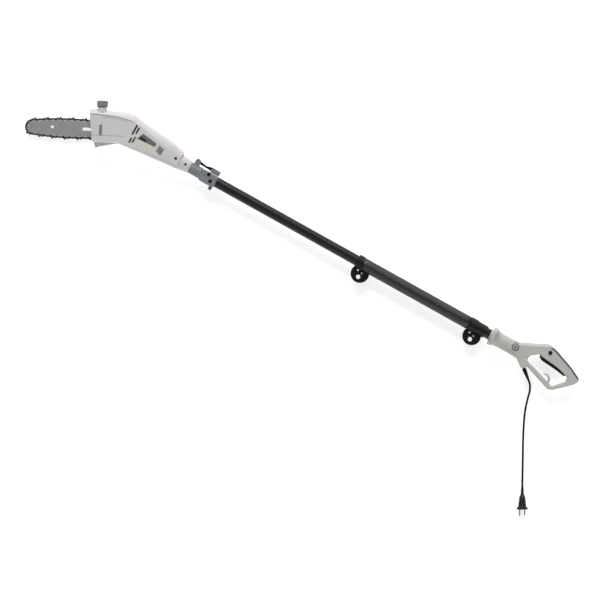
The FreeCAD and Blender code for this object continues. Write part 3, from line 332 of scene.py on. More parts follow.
def draw_brushed(tree: Tree, given: Sockets) -> Sockets:
    """Metal with drawn or ground streaks, light scratches and a few stains.

    Args:
        tree: the group's tree.
        given: the group's input sockets by name.

    Returns:
        A socket for each of the group's outputs.
    """
    place = tree.add("ShaderNodeTexCoord").outputs["Object"]
    turned = tree.add("ShaderNodeMapping", {"vector_type": "POINT"}, Vector=place)
    tree.feed(turned.inputs["Rotation"], given["Turn"])
    stretched = tree.add("ShaderNodeVectorMath", {"operation": "MULTIPLY"})
    tree.feed(stretched.inputs[0], turned.outputs[0])
    tree.feed(stretched.inputs[1], given["Stretch"])
    streak = tree.add("ShaderNodeTexNoise", Vector=stretched.outputs[0], Scale=24.0, Detail=5.0,
                      Roughness=0.65)
    stain = tree.add("ShaderNodeTexNoise", Vector=place, Scale=55.0, Detail=5.0, Roughness=0.6)
    scratch = tree.add("ShaderNodeTexNoise", Vector=stretched.outputs[0], Scale=90.0, Detail=2.0,
                       Roughness=0.5)
    tint = tree.ramp(streak.outputs["Fac"], 0.3, 0.7, -1.0, 1.0)
    value = tree.maths("MULTIPLY_ADD", tint, given["Streak"], 1.0)
    shade = tree.add("ShaderNodeHueSaturation", Color=given["Colour"], Value=value)
    stained = tree.maths("MULTIPLY", tree.ramp(stain.outputs["Fac"], 0.52, 0.72), given["Stain"])
    colour = tree.mixed(stained, shade.outputs["Color"], given["Stain Colour"])
    lines = tree.maths("MULTIPLY", tree.ramp(scratch.outputs["Fac"], 0.62, 0.7), given["Scratch"])
    colour = tree.mixed(lines, colour, given["Scratch Colour"])
    gloss = tree.maths("MULTIPLY_ADD", tint, 0.06, given["Roughness"])
    gloss = tree.maths("MULTIPLY_ADD", stained, 0.2, gloss)
    return {"Colour": colour, "Roughness": gloss, "Height": streak.outputs["Fac"]}


BRUSHED = ShaderGroup(
    "brushed_metal_streaks",
    {"Colour": (RGBA, WHITE), "Stain Colour": (RGBA, WHITE), "Scratch Colour": (RGBA, WHITE),
     "Turn": (VECTOR, (0.0, 0.0, 0.0)), "Stretch": (VECTOR, (1.0, 60.0, 60.0)),
     "Streak": (FLOAT, 0.1), "Stain": (FLOAT, 0.1), "Scratch": (FLOAT, 0.1),
     "Roughness": (FLOAT, 0.35)},
    {"Colour": RGBA, "Roughness": FLOAT, "Height": FLOAT}, draw_brushed)


def draw_foam(tree: Tree, given: Sockets) -> Sockets:
    """Closed-cell foam: small open pores in a slightly dusty skin.

    Args:
        tree: the group's tree.
        given: the group's input sockets by name.

    Returns:
        A socket for each of the group's outputs.
    """
    place = tree.add("ShaderNodeTexCoord").outputs["Object"]
    cells = tree.add("ShaderNodeTexVoronoi", {"feature": "F1"}, Vector=place,
                     Scale=given["Cell Scale"])
    skin = tree.add("ShaderNodeTexNoise", Vector=place, Scale=given["Cell Scale"], Detail=4.0)
    cloud = tree.add("ShaderNodeTexNoise", Vector=place, Scale=14.0, Detail=3.0)
    pore = tree.ramp(cells.outputs["Distance"], 0.12, 0.5)
    height = tree.maths("MULTIPLY_ADD", skin.outputs["Fac"], 0.5, pore)
    dust = tree.maths("MULTIPLY", tree.ramp(cloud.outputs["Fac"], 0.35, 0.75), given["Dust"])
    shade = tree.mixed(pore, given["Pore Colour"], given["Colour"])
    colour = tree.mixed(dust, shade, given["Dust Colour"])
    gloss = tree.maths("MULTIPLY_ADD", skin.outputs["Fac"], 0.1, given["Roughness"])
    return {"Colour": colour, "Roughness": gloss, "Height": height}


FOAM = ShaderGroup(
    "foam_pores",
    {"Colour": (RGBA, WHITE), "Pore Colour": (RGBA, WHITE), "Dust Colour": (RGBA, WHITE),
     "Cell Scale": (FLOAT, 700.0), "Dust": (FLOAT, 0.2), "Roughness": (FLOAT, 0.85)},
    {"Colour": RGBA, "Roughness": FLOAT, "Height": FLOAT}, draw_foam)


# ------------------------------------------------------------------ finishes
def opaque(colour: Colour) -> tuple[float, float, float, float]:
    """A colour with full alpha."""
    return (*colour, 1.0)


def new_material(name: str) -> tuple[bpy.types.Material, Tree, bpy.types.Node]:
    """Makes a material with a Principled shader wired to its output.

    Args:
        name: name of the material.

    Returns:
        The material, its tree and its shader node.
    """
    material = bpy.data.materials.new(name)
    material.use_nodes = True
    tree = Tree(material.node_tree)
    shader = tree.add("ShaderNodeBsdfPrincipled")
    tree.add("ShaderNodeOutputMaterial", Surface=shader.outputs["BSDF"])
    return material, tree, shader


def wire_surface(tree: Tree, shader: bpy.types.Node, effect: bpy.types.Node, bump: float,
                 depth: float) -> None:
    """Feeds an effect's colour, roughness and height to a shader.

    Args:
        tree: the material's tree.
        shader: the Principled node.
        effect: the group node of the effect.
        bump: strength of the bump.
        depth: height of the bump in metres.
    """
    tree.feed(shader.inputs["Base Color"], effect.outputs["Colour"])
    tree.feed(shader.inputs["Roughness"], effect.outputs["Roughness"])
    relief = tree.add("ShaderNodeBump", Height=effect.outputs["Height"], Strength=bump,
                      Distance=depth)
    tree.feed(shader.inputs["Normal"], relief.outputs["Normal"])


@dataclass(frozen=True)
class MouldedPlastic:
    """Injection-moulded plastic or rubber with a textured skin."""

    name: str
    colour: Colour
    roughness: float = 0.5
    grain: float = 1500.0
    bump: float = 0.25
    cloud: float = 0.02
    rub: float = 0.12
    rub_colour: Colour | None = None
    specular: float = 0.5
    coat: float = 0.0

    def build(self) -> bpy.types.Material:
        """Makes the material.

        Returns:
            The new material.
        """
        material, tree, shader = new_material(self.name)
        rubbed = self.rub_colour or tuple(min(1.0, c * 1.15 + 0.01) for c in self.colour)
        effect = MOULDED.place(tree, Colour=opaque(self.colour), Rub_Colour=opaque(rubbed),
                               Grain_Scale=self.grain, Cloud=self.cloud, Rub=self.rub,
                               Roughness=self.roughness)
        wire_surface(tree, shader, effect, self.bump, 0.0003)
        shader.inputs["Specular IOR Level"].default_value = self.specular
        shader.inputs["Coat Weight"].default_value = self.coat
        return material


@dataclass(frozen=True)
class ClearPlastic:
    """Milky see-through plastic of the oil tank."""

    name: str
    colour: Colour
    roughness: float = 0.25

    def build(self) -> bpy.types.Material:
        """Makes the material.

        Returns:
            The new material.
        """
        material, tree, shader = new_material(self.name)
        effect = MOULDED.place(tree, Colour=opaque(self.colour), Rub_Colour=opaque(self.colour),
                               Grain_Scale=300.0, Cloud=0.05, Rub=0.2, Roughness=self.roughness)
        wire_surface(tree, shader, effect, 0.1, 0.0002)
        shader.inputs["Subsurface Weight"].default_value = 0.25
        shader.inputs["Subsurface Radius"].default_value = (0.004, 0.003, 0.002)
        shader.inputs["Coat Weight"].default_value = 0.3
        return material


@dataclass(frozen=True)
class BrushedMetal:
    """Ground, drawn or anodised metal."""

    name: str
    colour: Colour
    roughness: float = 0.35
    streaks: Axis = Axis.X
    turn: float = 0.0
    streak: float = 0.08
    stain: float = 0.1
    stain_colour: Colour = (0.08, 0.07, 0.06)
    scratch: float = 0.1
    scratch_colour: Colour = (0.8, 0.8, 0.8)
    bump: float = 0.08
    metallic: float = 1.0

    def build(self) -> bpy.types.Material:
        """Makes the material.

        Returns:
            The new material.
        """
        material, tree, shader = new_material(self.name)
        effect = BRUSHED.place(tree, Colour=opaque(self.colour),
                               Stain_Colour=opaque(self.stain_colour),
                               Scratch_Colour=opaque(self.scratch_colour),
                               Turn=(0.0, 0.0, self.turn), Stretch=self.streaks.value,
                               Streak=self.streak, Stain=self.stain, Scratch=self.scratch,
                               Roughness=self.roughness)
        wire_surface(tree, shader, effect, self.bump, 0.0001)
        shader.inputs["Metallic"].default_value = self.metallic
        return material


@dataclass(frozen=True)
class FoamSkin:
    """Soft closed-cell foam."""

    name: str
    colour: Colour
    roughness: float = 0.46
    cell: float = 650.0

    def build(self) -> bpy.types.Material:
        """Makes the material.

        Returns:
            The new material.
        """
        material, tree, shader = new_material(self.name)
        pore = tuple(c * 0.45 for c in self.colour)
        dust = tuple(c * 1.6 + 0.004 for c in self.colour)
        effect = FOAM.place(tree, Colour=opaque(self.colour), Pore_Colour=opaque(pore),
                            Dust_Colour=opaque(dust), Cell_Scale=self.cell, Dust=0.25,
                            Roughness=self.roughness)
        wire_surface(tree, shader, effect, 0.35, 0.0005)
        shader.inputs["Specular IOR Level"].default_value = 0.7
        return material


Finish = MouldedPlastic | ClearPlastic | BrushedMetal | FoamSkin


@dataclass
class FinishBook:
    """Every finish of the saw, made once and handed out by name."""

    made: dict[str, bpy.types.Material] = field(default_factory=dict)

    def get(self, finish: Finish) -> bpy.types.Material:
        """Makes the material of a finish the first time it is asked for.

        Args:
            finish: the finish.

        Returns:
            Its material.
        """
        if finish.name not in self.made:
            self.made[finish.name] = finish.build()
        return self.made[finish.name]


HOUSING = MouldedPlastic("housing_grey", (0.64, 0.625, 0.612), roughness=0.5, grain=1300.0, rub=0.08)
CAP_GREY = MouldedPlastic("cap_grey", (0.20, 0.20, 0.205), roughness=0.5)
CLAMP_GREY = MouldedPlastic("clamp_grey", (0.20, 0.215, 0.235), roughness=0.5)
BLACK = MouldedPlastic("black_nylon", (0.007, 0.006, 0.006), roughness=0.42, grain=1100.0, rub=0.1,
                       specular=0.3)
# darker copy of the housing grey for the handle shells: painted shade, since the shells are the same plastic as
# the head's housing
HANDLE_SHADED_GREY = MouldedPlastic("handle_shaded_grey", (0.50, 0.49, 0.465), roughness=0.5, grain=1300.0, rub=0.08)
RUBBER = MouldedPlastic("grip_rubber", (0.085, 0.086, 0.09), roughness=0.7, grain=900.0, bump=0.5)
CORD_SKIN = MouldedPlastic("cord_rubber", (0.006, 0.006, 0.006), roughness=0.5, grain=700.0, bump=0.03,
                          specular=0.3)
TUBE = BrushedMetal("anodised_tube", (0.048, 0.046, 0.046), roughness=0.30, streak=0.12, stain=0.05,
                    scratch=0.12, scratch_colour=(0.3, 0.3, 0.31), metallic=0.85)
BAR = BrushedMetal("bar_steel", (0.40, 0.39, 0.395), roughness=0.45, streaks=Axis.BAR,
                   turn=-HEAD_TURN, streak=0.12, stain=0.2, stain_colour=(0.18, 0.17, 0.16),
                   scratch=0.3, metallic=0.5)
CHAIN = BrushedMetal("blued_chain", (0.030, 0.029, 0.030), roughness=0.5, stain=0.4,
                     stain_colour=(0.02, 0.018, 0.016), scratch=0.25,
                     scratch_colour=(0.30, 0.30, 0.31))
STEEL = BrushedMetal("bright_steel", (0.55, 0.55, 0.56), roughness=0.28)
COPPER = BrushedMetal("copper", (0.72, 0.34, 0.18), roughness=0.3)
IRON = BrushedMetal("laminated_iron", (0.2, 0.2, 0.21), roughness=0.5, streaks=Axis.Y)
CAST = BrushedMetal("die_cast_alloy", (0.58, 0.59, 0.6), roughness=0.55, streak=0.04)
NYLON = MouldedPlastic("natural_nylon", (0.72, 0.70, 0.64), roughness=0.4)
TANK = ClearPlastic("milky_tank", (0.24, 0.235, 0.22))
PANEL = MouldedPlastic("rating_panel", (0.15, 0.15, 0.155), roughness=0.35, grain=600.0, bump=0.05)
PANEL_MARK = MouldedPlastic("panel_mark", (0.02, 0.02, 0.02), roughness=0.35, grain=600.0, bump=0.05)
PANEL_BAND = MouldedPlastic("panel_band", (0.66, 0.64, 0.56), roughness=0.35, grain=600.0, bump=0.05)
BADGE_RIM = MouldedPlastic("badge_rim", (0.13, 0.13, 0.14), roughness=0.4)
BADGE_FACE = MouldedPlastic("badge_face", (0.36, 0.35, 0.36), roughness=0.4)
RIVET_GREY = BrushedMetal("rivet_grey", (0.42, 0.42, 0.43), roughness=0.4)
FOAM_SKIN = FoamSkin("foam_grip", (0.007, 0.006, 0.006))
BLACKED = BrushedMetal("blackened_steel", (0.03, 0.03, 0.032), roughness=0.5)

SLOT_FINISH = {
    "housing": HOUSING, "cap_plastic": CAP_GREY, "clamp_plastic": CLAMP_GREY, "black_plastic": BLACK,
    "dark_rubber": RUBBER, "anodised_tube": TUBE, "foam": FOAM_SKIN, "bar_steel": BAR,
    "chain_steel": CHAIN, "steel": STEEL, "laminations": IRON, "copper": COPPER, "die_cast": CAST,
    "nylon": NYLON, "tank_plastic": TANK, "cord_rubber": CORD_SKIN, "plated_pins": STEEL,
}

# nodes that don't have the finish of their slot; the handle shells get a darker copy of the housing grey, which is
# painted shade
NODE_FINISH = {
    "head_screws": BLACKED, "handle_screws": BLACKED, "handle_left_shell": HANDLE_SHADED_GREY,
    "handle_right_shell": HANDLE_SHADED_GREY,
}


# ------------------------------------------------------------------ mesh making
def to_object(name: str, mesh_source: bmesh.types.BMesh, finish: bpy.types.Material,
              sharp: float = 35.0) -> bpy.types.Object:
    """Turns a bmesh into an object with smooth shading and sharp edges by angle.

    Args:
        name: name of the piece.
        mesh_source: the bmesh, which is freed.
        finish: its material.
        sharp: angle in degrees over which an edge stays sharp.

    Returns:
        The new object, linked to the scene.
    """
    mesh = bpy.data.meshes.new(name)
    mesh_source.to_mesh(mesh)
    mesh_source.free()
    mesh.shade_smooth()
    mesh.set_sharp_from_angle(angle=math.radians(sharp))
    mesh.materials.append(finish)
    piece = bpy.data.objects.new(name, mesh)
    bpy.context.scene.collection.objects.link(piece)
    return piece


def tidy(mesh: bmesh.types.BMesh) -> None:
    """Merges doubled points and turns every face outwards."""
    bmesh.ops.remove_doubles(mesh, verts=mesh.verts, dist=MERGE_DISTANCE)
    bmesh.ops.recalc_face_normals(mesh, faces=mesh.faces)


def lathe(profile: Profile, axis: Matrix, steps: int = 72) -> bmesh.types.BMesh:
    """A closed body turned about an axis.

    Args:
        profile: pairs of distance along the axis and radius, in millimetres.
        axis: matrix whose Z is the axis and whose place is where distance is zero.
        steps: number of steps round.

    Returns:
        The body.
    """
    mesh = bmesh.new()
    points = [mesh.verts.new((radius * MM, 0.0, along * MM)) for along, radius in profile]
    edges = [mesh.edges.new(pair) for pair in zip(points, points[1:])]
    bmesh.ops.spin(mesh, geom=points + edges, cent=(0, 0, 0), axis=(0, 0, 1),
                   angle=2 * math.pi, steps=steps, use_merge=True)
    tidy(mesh)
    mesh.transform(axis)
    return mesh


def axis_matrix(place: Vector, direction: Vector) -> Matrix:
    """Matrix that stands at a place with its Z along a direction."""
    turn = direction.to_track_quat("Z", "Y").to_matrix().to_4x4()
    return Matrix.Translation(place) @ turn


def finish_piece(piece: bpy.types.Object, body: Body,
                 replaced: Iterable[str] = ()) -> bpy.types.Object:
    """Ties a new piece to its body and hides the CAD nodes that it stands for.

    Args:
        piece: the new piece.
        body: the body it rides on.
        replaced: CAD nodes that it replaces.

    Returns:
        The piece.
    """
    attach(piece, body.value)
    nodes = list(replaced)
    if nodes:
        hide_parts(*nodes)
    LOG.info("piece %s rides on %s", piece.name, body.value)
    return piece


def surface_of(*nodes: str) -> BVHTree:
    """Gathers CAD nodes into one surface that thin pieces can be laid on.

    Args:
        *nodes: names of the nodes.

    Returns:
        The surface, ready for rays.
    """
    points: list[Vector] = []
    faces: list[tuple[int, ...]] = []
    for name in nodes:
        mesh = frame["nodes"][name].data
        start = len(points)
        points += [v.co.copy() for v in mesh.vertices]
        faces += [tuple(start + i for i in polygon.vertices) for polygon in mesh.polygons]
    return BVHTree.FromPolygons(points, faces)


def lay_down(mesh: bmesh.types.BMesh, surface: BVHTree, thickness: float) -> None:
    """Drops a flat sheet onto a surface from above and gives it its thickness.

    What hangs past the surface is cut off.

    Args:
        mesh: flat sheet that hovers over the surface.
        surface: what it is laid on.
        thickness: thickness in metres.
    """
    missed = []
    for vert in mesh.verts:
        hit = surface.ray_cast(vert.co, DOWN)[0]
        if hit is None:
            missed.append(vert)
        else:
            vert.co.z = hit.z + thickness
    bmesh.ops.delete(mesh, geom=missed, context="VERTS")
    made = bmesh.ops.extrude_face_region(mesh, geom=list(mesh.faces))
    sunk = [item for item in made["geom"] if isinstance(item, bmesh.types.BMVert)]
    bmesh.ops.translate(mesh, verts=sunk, vec=ROOT_DEPTH * thickness * DOWN)
    bmesh.ops.recalc_face_normals(mesh, faces=mesh.faces)


def sheet(corners: Sequence[Vector], across: int = 24, along: int = 10) -> bmesh.types.BMesh:
    """A flat four-sided sheet, divided into small squares.

    Args:
        corners: its four corners in order.
        across: number of squares from the first corner to the second.
        along: number of squares from the second corner to the third.

    Returns:
        The sheet.
    """
    mesh = bmesh.new()
    bmesh.ops.create_grid(mesh, x_segments=across, y_segments=along, size=0.5)
    first, second, third, fourth = corners
    for vert in mesh.verts:
        u, v = vert.co.x + 0.5, vert.co.y + 0.5
        vert.co = first.lerp(second, u).lerp(fourth.lerp(third, u), v)
    return mesh


def even_steps(corners: Sequence[Vector], stride: float) -> list[Vector]:
    """Points along a bent line, with each straight run in equal steps.

    Args:
        corners: ends and bends of the line.
        stride: longest step in metres.

    Returns:
        The points, with the corners among them.
    """
    points = [corners[0]]
    for start, end in zip(corners, corners[1:]):
        steps = math.ceil((end - start).length / stride)
        points += [start.lerp(end, i / steps) for i in range(1, steps + 1)]
    return points


def ribbon(line: Sequence[Vector], width: float) -> bmesh.types.BMesh:
    """A flat strip along a line.

    Args:
        line: points of its middle, all at one height.
        width: width in metres.

    Returns:
        The strip.
    """
    mesh = bmesh.new()
    sides: list[tuple[bmesh.types.BMVert, bmesh.types.BMVert]] = []
    for i, point in enumerate(line):
        run = line[min(i + 1, len(line) - 1)] - line[max(i - 1, 0)]
        reach = Vector((-run.y, run.x, 0.0)).normalized() * (width / 2)
        sides.append((mesh.verts.new(point + reach), mesh.verts.new(point - reach)))
    for (left, right), (next_left, next_right) in zip(sides, sides[1:]):
        mesh.faces.new((left, right, next_right, next_left))
    bmesh.ops.subdivide_edges(mesh, edges=mesh.edges, cuts=3, use_grid_fill=True)
    bmesh.ops.recalc_face_normals(mesh, faces=mesh.faces)
    return mesh


def disc(centre: Vector, radius: float, rings: int = 6, steps: int = 48) -> bmesh.types.BMesh:
    """A flat disc made of rings, so that it can follow a curved surface.

    Args:
        centre: its centre.
        radius: radius in metres.
        rings: number of rings.
        steps: number of steps round.

    Returns:
        The disc.
    """
    mesh = bmesh.new()
    points = [mesh.verts.new((radius * i / rings, 0.0, 0.0)) for i in range(rings + 1)]
    edges = [mesh.edges.new(pair) for pair in zip(points, points[1:])]
    bmesh.ops.spin(mesh, geom=points + edges, cent=(0, 0, 0), axis=(0, 0, 1),
                   angle=2 * math.pi, steps=steps, use_merge=True)
    tidy(mesh)
    bmesh.ops.translate(mesh, vec=centre, verts=mesh.verts)
    return mesh


# ------------------------------------------------------------------ the frame's own nodes
@dataclass
class CarriedNodes:
    """CAD nodes whose shape is right, which only get their finishes."""

    book: FinishBook

    def dress(self) -> None:
        """Gives every CAD node the finish of its material slot."""
        slots = {part["node"]: part["material_slot"] for part in frame["record"]["subparts"]}
        for name, node in frame["nodes"].items():
            finish = self.book.get(NODE_FINISH.get(name, SLOT_FINISH[slots[name]]))
            node.data.materials.clear()
            node.data.materials.append(finish)
        LOG.info("%d CAD nodes dressed", len(frame["nodes"]))


# ------------------------------------------------------------------ cord, relief and plug
@dataclass
class SupplyCord:
    """Short rubber cord from the handle to a moulded two-pin plug."""

    book: FinishBook
    diameter: float = 0.0065
    route_mm: tuple[tuple[float, float, float], ...] = (
        (1090.0, -62.0, -2.0), (1097.8, -68.3, -3.0), (1105.2, -77.8, -5.5),
        (1111.5, -91.4, -10.0), (1116.8, -112.7, -17.0), (1126.2, -143.3, -25.0),
        (1144.5, -184.4, -29.4), (1170.6, -236.0, -30.3), (1197.0, -284.0, -30.3),
        (1220.9, -329.4, -30.2), (1233.7, -353.3, -26.0))
    length: float = 0.330
    relief_root_mm: tuple[float, float, float] = (1060.7, -38.2, 0.0)
    relief_ribs: int = 9
    relief_first_mm: float = 6.0
    relief_root_radius_mm: float = 6.6
    relief_tip_radius_mm: float = 4.1
    groove_mm: float = 1.0
    plug_ribs: int = 5
    plug_rib_pitch_mm: float = 3.8

    def points(self) -> list[Vector]:
        """The route in the row frame."""
        return [POLE.point(*p) for p in self.route_mm]

    def build_cord(self) -> bpy.types.Object:
        """Builds the cord itself, one smooth line.

        Returns:
            The cord.
        """
        curve = bpy.data.curves.new("supply_cord", "CURVE")
        curve.dimensions = "3D"
        curve.bevel_depth = self.diameter / 2
        curve.bevel_resolution = 6
        curve.resolution_u = 12
        curve.use_fill_caps = True
        spline = curve.splines.new("NURBS")
        points = self.points()
        spline.points.add(len(points) - 1)
        for target, place in zip(spline.points, points):
            target.co = (*place, 1.0)
        spline.order_u = 3
        spline.use_endpoint_u = True
        curve.materials.append(self.book.get(CORD_SKIN))
        piece = bpy.data.objects.new("supply_cord", curve)
        bpy.context.scene.collection.objects.link(piece)
        return finish_piece(piece, Body.POLE, ["power_cord"])

    def build_relief(self) -> bpy.types.Object:
        """Builds the tapered strain relief with grooves cut round it.

        Returns:
            The strain relief.
        """
        start = POLE.point(*self.relief_root_mm)
        toward = self.points()[0] - start
        length = toward.length / MM
        first, last = self.relief_first_mm, length - 1.5
        pitch = (last - first) / self.relief_ribs
        taper = (self.relief_tip_radius_mm - self.relief_root_radius_mm) / (self.relief_ribs - 1)
        profile = [(-1.0, 0.0), (-1.0, 5.3), (3.0, 5.3), (3.0, 6.8), (3.4, 7.1), (5.0, 7.1), (5.4, 6.8)]
        for i in range(self.relief_ribs):
            low = first + pitch * i
            radius = self.relief_root_radius_mm + taper * i
            floor = radius - self.groove_mm
            profile += [(low, floor), (low + 0.28 * pitch, floor),
                        (low + 0.38 * pitch, radius), (low + 0.92 * pitch, radius)]
        profile += [(length - 0.6, self.relief_tip_radius_mm), (length, 3.8), (length, 0.0)]
        mesh = lathe(profile, axis_matrix(start, toward), 48)
        piece = to_object("ribbed_strain_relief", mesh, self.book.get(BLACK))
        return finish_piece(piece, Body.POLE, ["strain_relief"])

    def build_plug(self) -> bpy.types.Object:
        """Builds the moulded plug body with a ribbed tail and a round flange.

        Returns:
            The plug body.
        """
        points = self.points()
        direction = (points[-1] - points[-2]).normalized()
        profile = [(0.0, 0.0), (0.0, 3.9), (0.4, 4.2)]
        for i in range(self.plug_ribs):
            low = 1.5 + self.plug_rib_pitch_mm * i
            radius = 4.3 + 0.15 * i
            profile += [(low, radius), (low + 0.5, radius - 0.9), (low + 1.6, radius - 0.9),
                        (low + 2.1, radius + 0.1)]
        profile += [(21.5, 5.2), (24.0, 6.4), (27.5, 8.4), (33.0, 9.6), (46.0, 10.9), (56.0, 12.0),
                    (58.5, 12.8), (59.8, 15.6), (60.6, 16.6), (61.4, 17.0), (65.2, 17.0),
                    (65.9, 16.6), (66.0, 16.2), (66.0, 0.0)]
        mesh = lathe(profile, axis_matrix(points[-1], direction), 72)
        piece = to_object("moulded_plug", mesh, self.book.get(CORD_SKIN))
        return finish_piece(piece, Body.POLE, ["plug_body"])

    def build(self) -> None:
        cord = self.build_cord()
        self.build_relief()
        plug = self.build_plug()


# ------------------------------------------------------------------ pole
@dataclass
class PoleDress:
    """Foam grip round the pole and the rivets of the strap ears."""

    book: FinishBook
    start_mm: float = 486.3
    end_mm: float = 851.7
    radius_mm: float = 19.5
    bore_mm: float = 16.1
    end_round_mm: float = 1.8
    bands: int = 24
    rivets_mm: tuple[tuple[float, float], ...] = ((497.5, -27.0), (881.3, -27.0))

    def build_rivets(self) -> None:
        """Domed heads of the rivets through the strap ears."""
        dome = [(3.8, 0.0), (3.8, 3.7), (4.9, 3.6), (5.6, 3.0), (6.1, 1.9), (6.3, 0.0)]
        for i, (x, y) in enumerate(self.rivets_mm):
            mesh = lathe(dome, Matrix.Translation(POLE.point(x, y)), 36)
            piece = to_object(f"ear_rivet_{i + 1}", mesh, self.book.get(RIVET_GREY))
            finish_piece(piece, Body.POLE)

    def build_sleeve(self) -> None:
        """Foam sleeve with softly rounded ends and a slightly uneven skin."""
        start, end, radius, soft = self.start_mm, self.end_mm, self.radius_mm, self.end_round_mm
        profile = [(start, self.bore_mm), (start, radius - soft), (start + 0.5, radius - 0.8),
                   (start + soft, radius)]
        for i in range(1, self.bands):
            wave = 0.12 * math.sin(2.4 * i) + 0.08 * math.sin(5.1 * i)
            along = start + soft + (end - start - 2 * soft) * i / self.bands
            profile.append((along, radius + wave))
        profile += [(end - soft, radius), (end - 0.5, radius - 0.8), (end, radius - soft),
                    (end, self.bore_mm), (start, self.bore_mm)]
        mesh = lathe(profile, axis_matrix(POLE.point(0, 0), Vector((1, 0, 0))), 96)
        piece = to_object("foam_sleeve", mesh, self.book.get(FOAM_SKIN), 60.0)
        finish_piece(piece, Body.POLE, ["foam_grip"])

    def build(self) -> None:
        """Builds the foam sleeve and the rivets."""
        self.build_sleeve()
        self.build_rivets()


# ------------------------------------------------------------------ rear handle
@dataclass
class HandleDress:
    """Badge and rubber edge of the rear handle."""

    book: FinishBook
    badge_mm: tuple[float, float] = (1006.7, 4.5)
    badge_radius_mm: float = 11.5
    edge_mm: tuple[tuple[float, float], ...] = (
        (1103.0, 56.2), (1123.2, 51.1), (1184.9, 28.2), (1216.0, 12.2))
    edge_step: float = 0.012
    edge_width: float = 0.0046
    edge_thickness: float = 0.0005

    def build(self) -> None:
        """Lays the badge and the edge on the left shell."""
        surface = surface_of("handle_left_shell")
        layers = (("badge_rim", 1.0, BADGE_RIM, 0.0005), ("badge_face", 0.72, BADGE_FACE, 0.0009),
                  ("badge_dot", 0.3, BADGE_RIM, 0.0013))
        for name, share, finish, thickness in layers:
            badge = disc(POLE.point(*self.badge_mm, HOVER_MM), share * self.badge_radius_mm * MM)
            lay_down(badge, surface, thickness)
            piece = to_object(name, badge, self.book.get(finish))
            finish_piece(piece, Body.POLE)
        corners = [POLE.point(x, y, HOVER_MM) for x, y in self.edge_mm]
        edge = ribbon(even_steps(corners, self.edge_step), self.edge_width)
        lay_down(edge, surface, self.edge_thickness)
        piece = to_object("rubber_edge", edge, self.book.get(RUBBER))
        finish_piece(piece, Body.POLE)


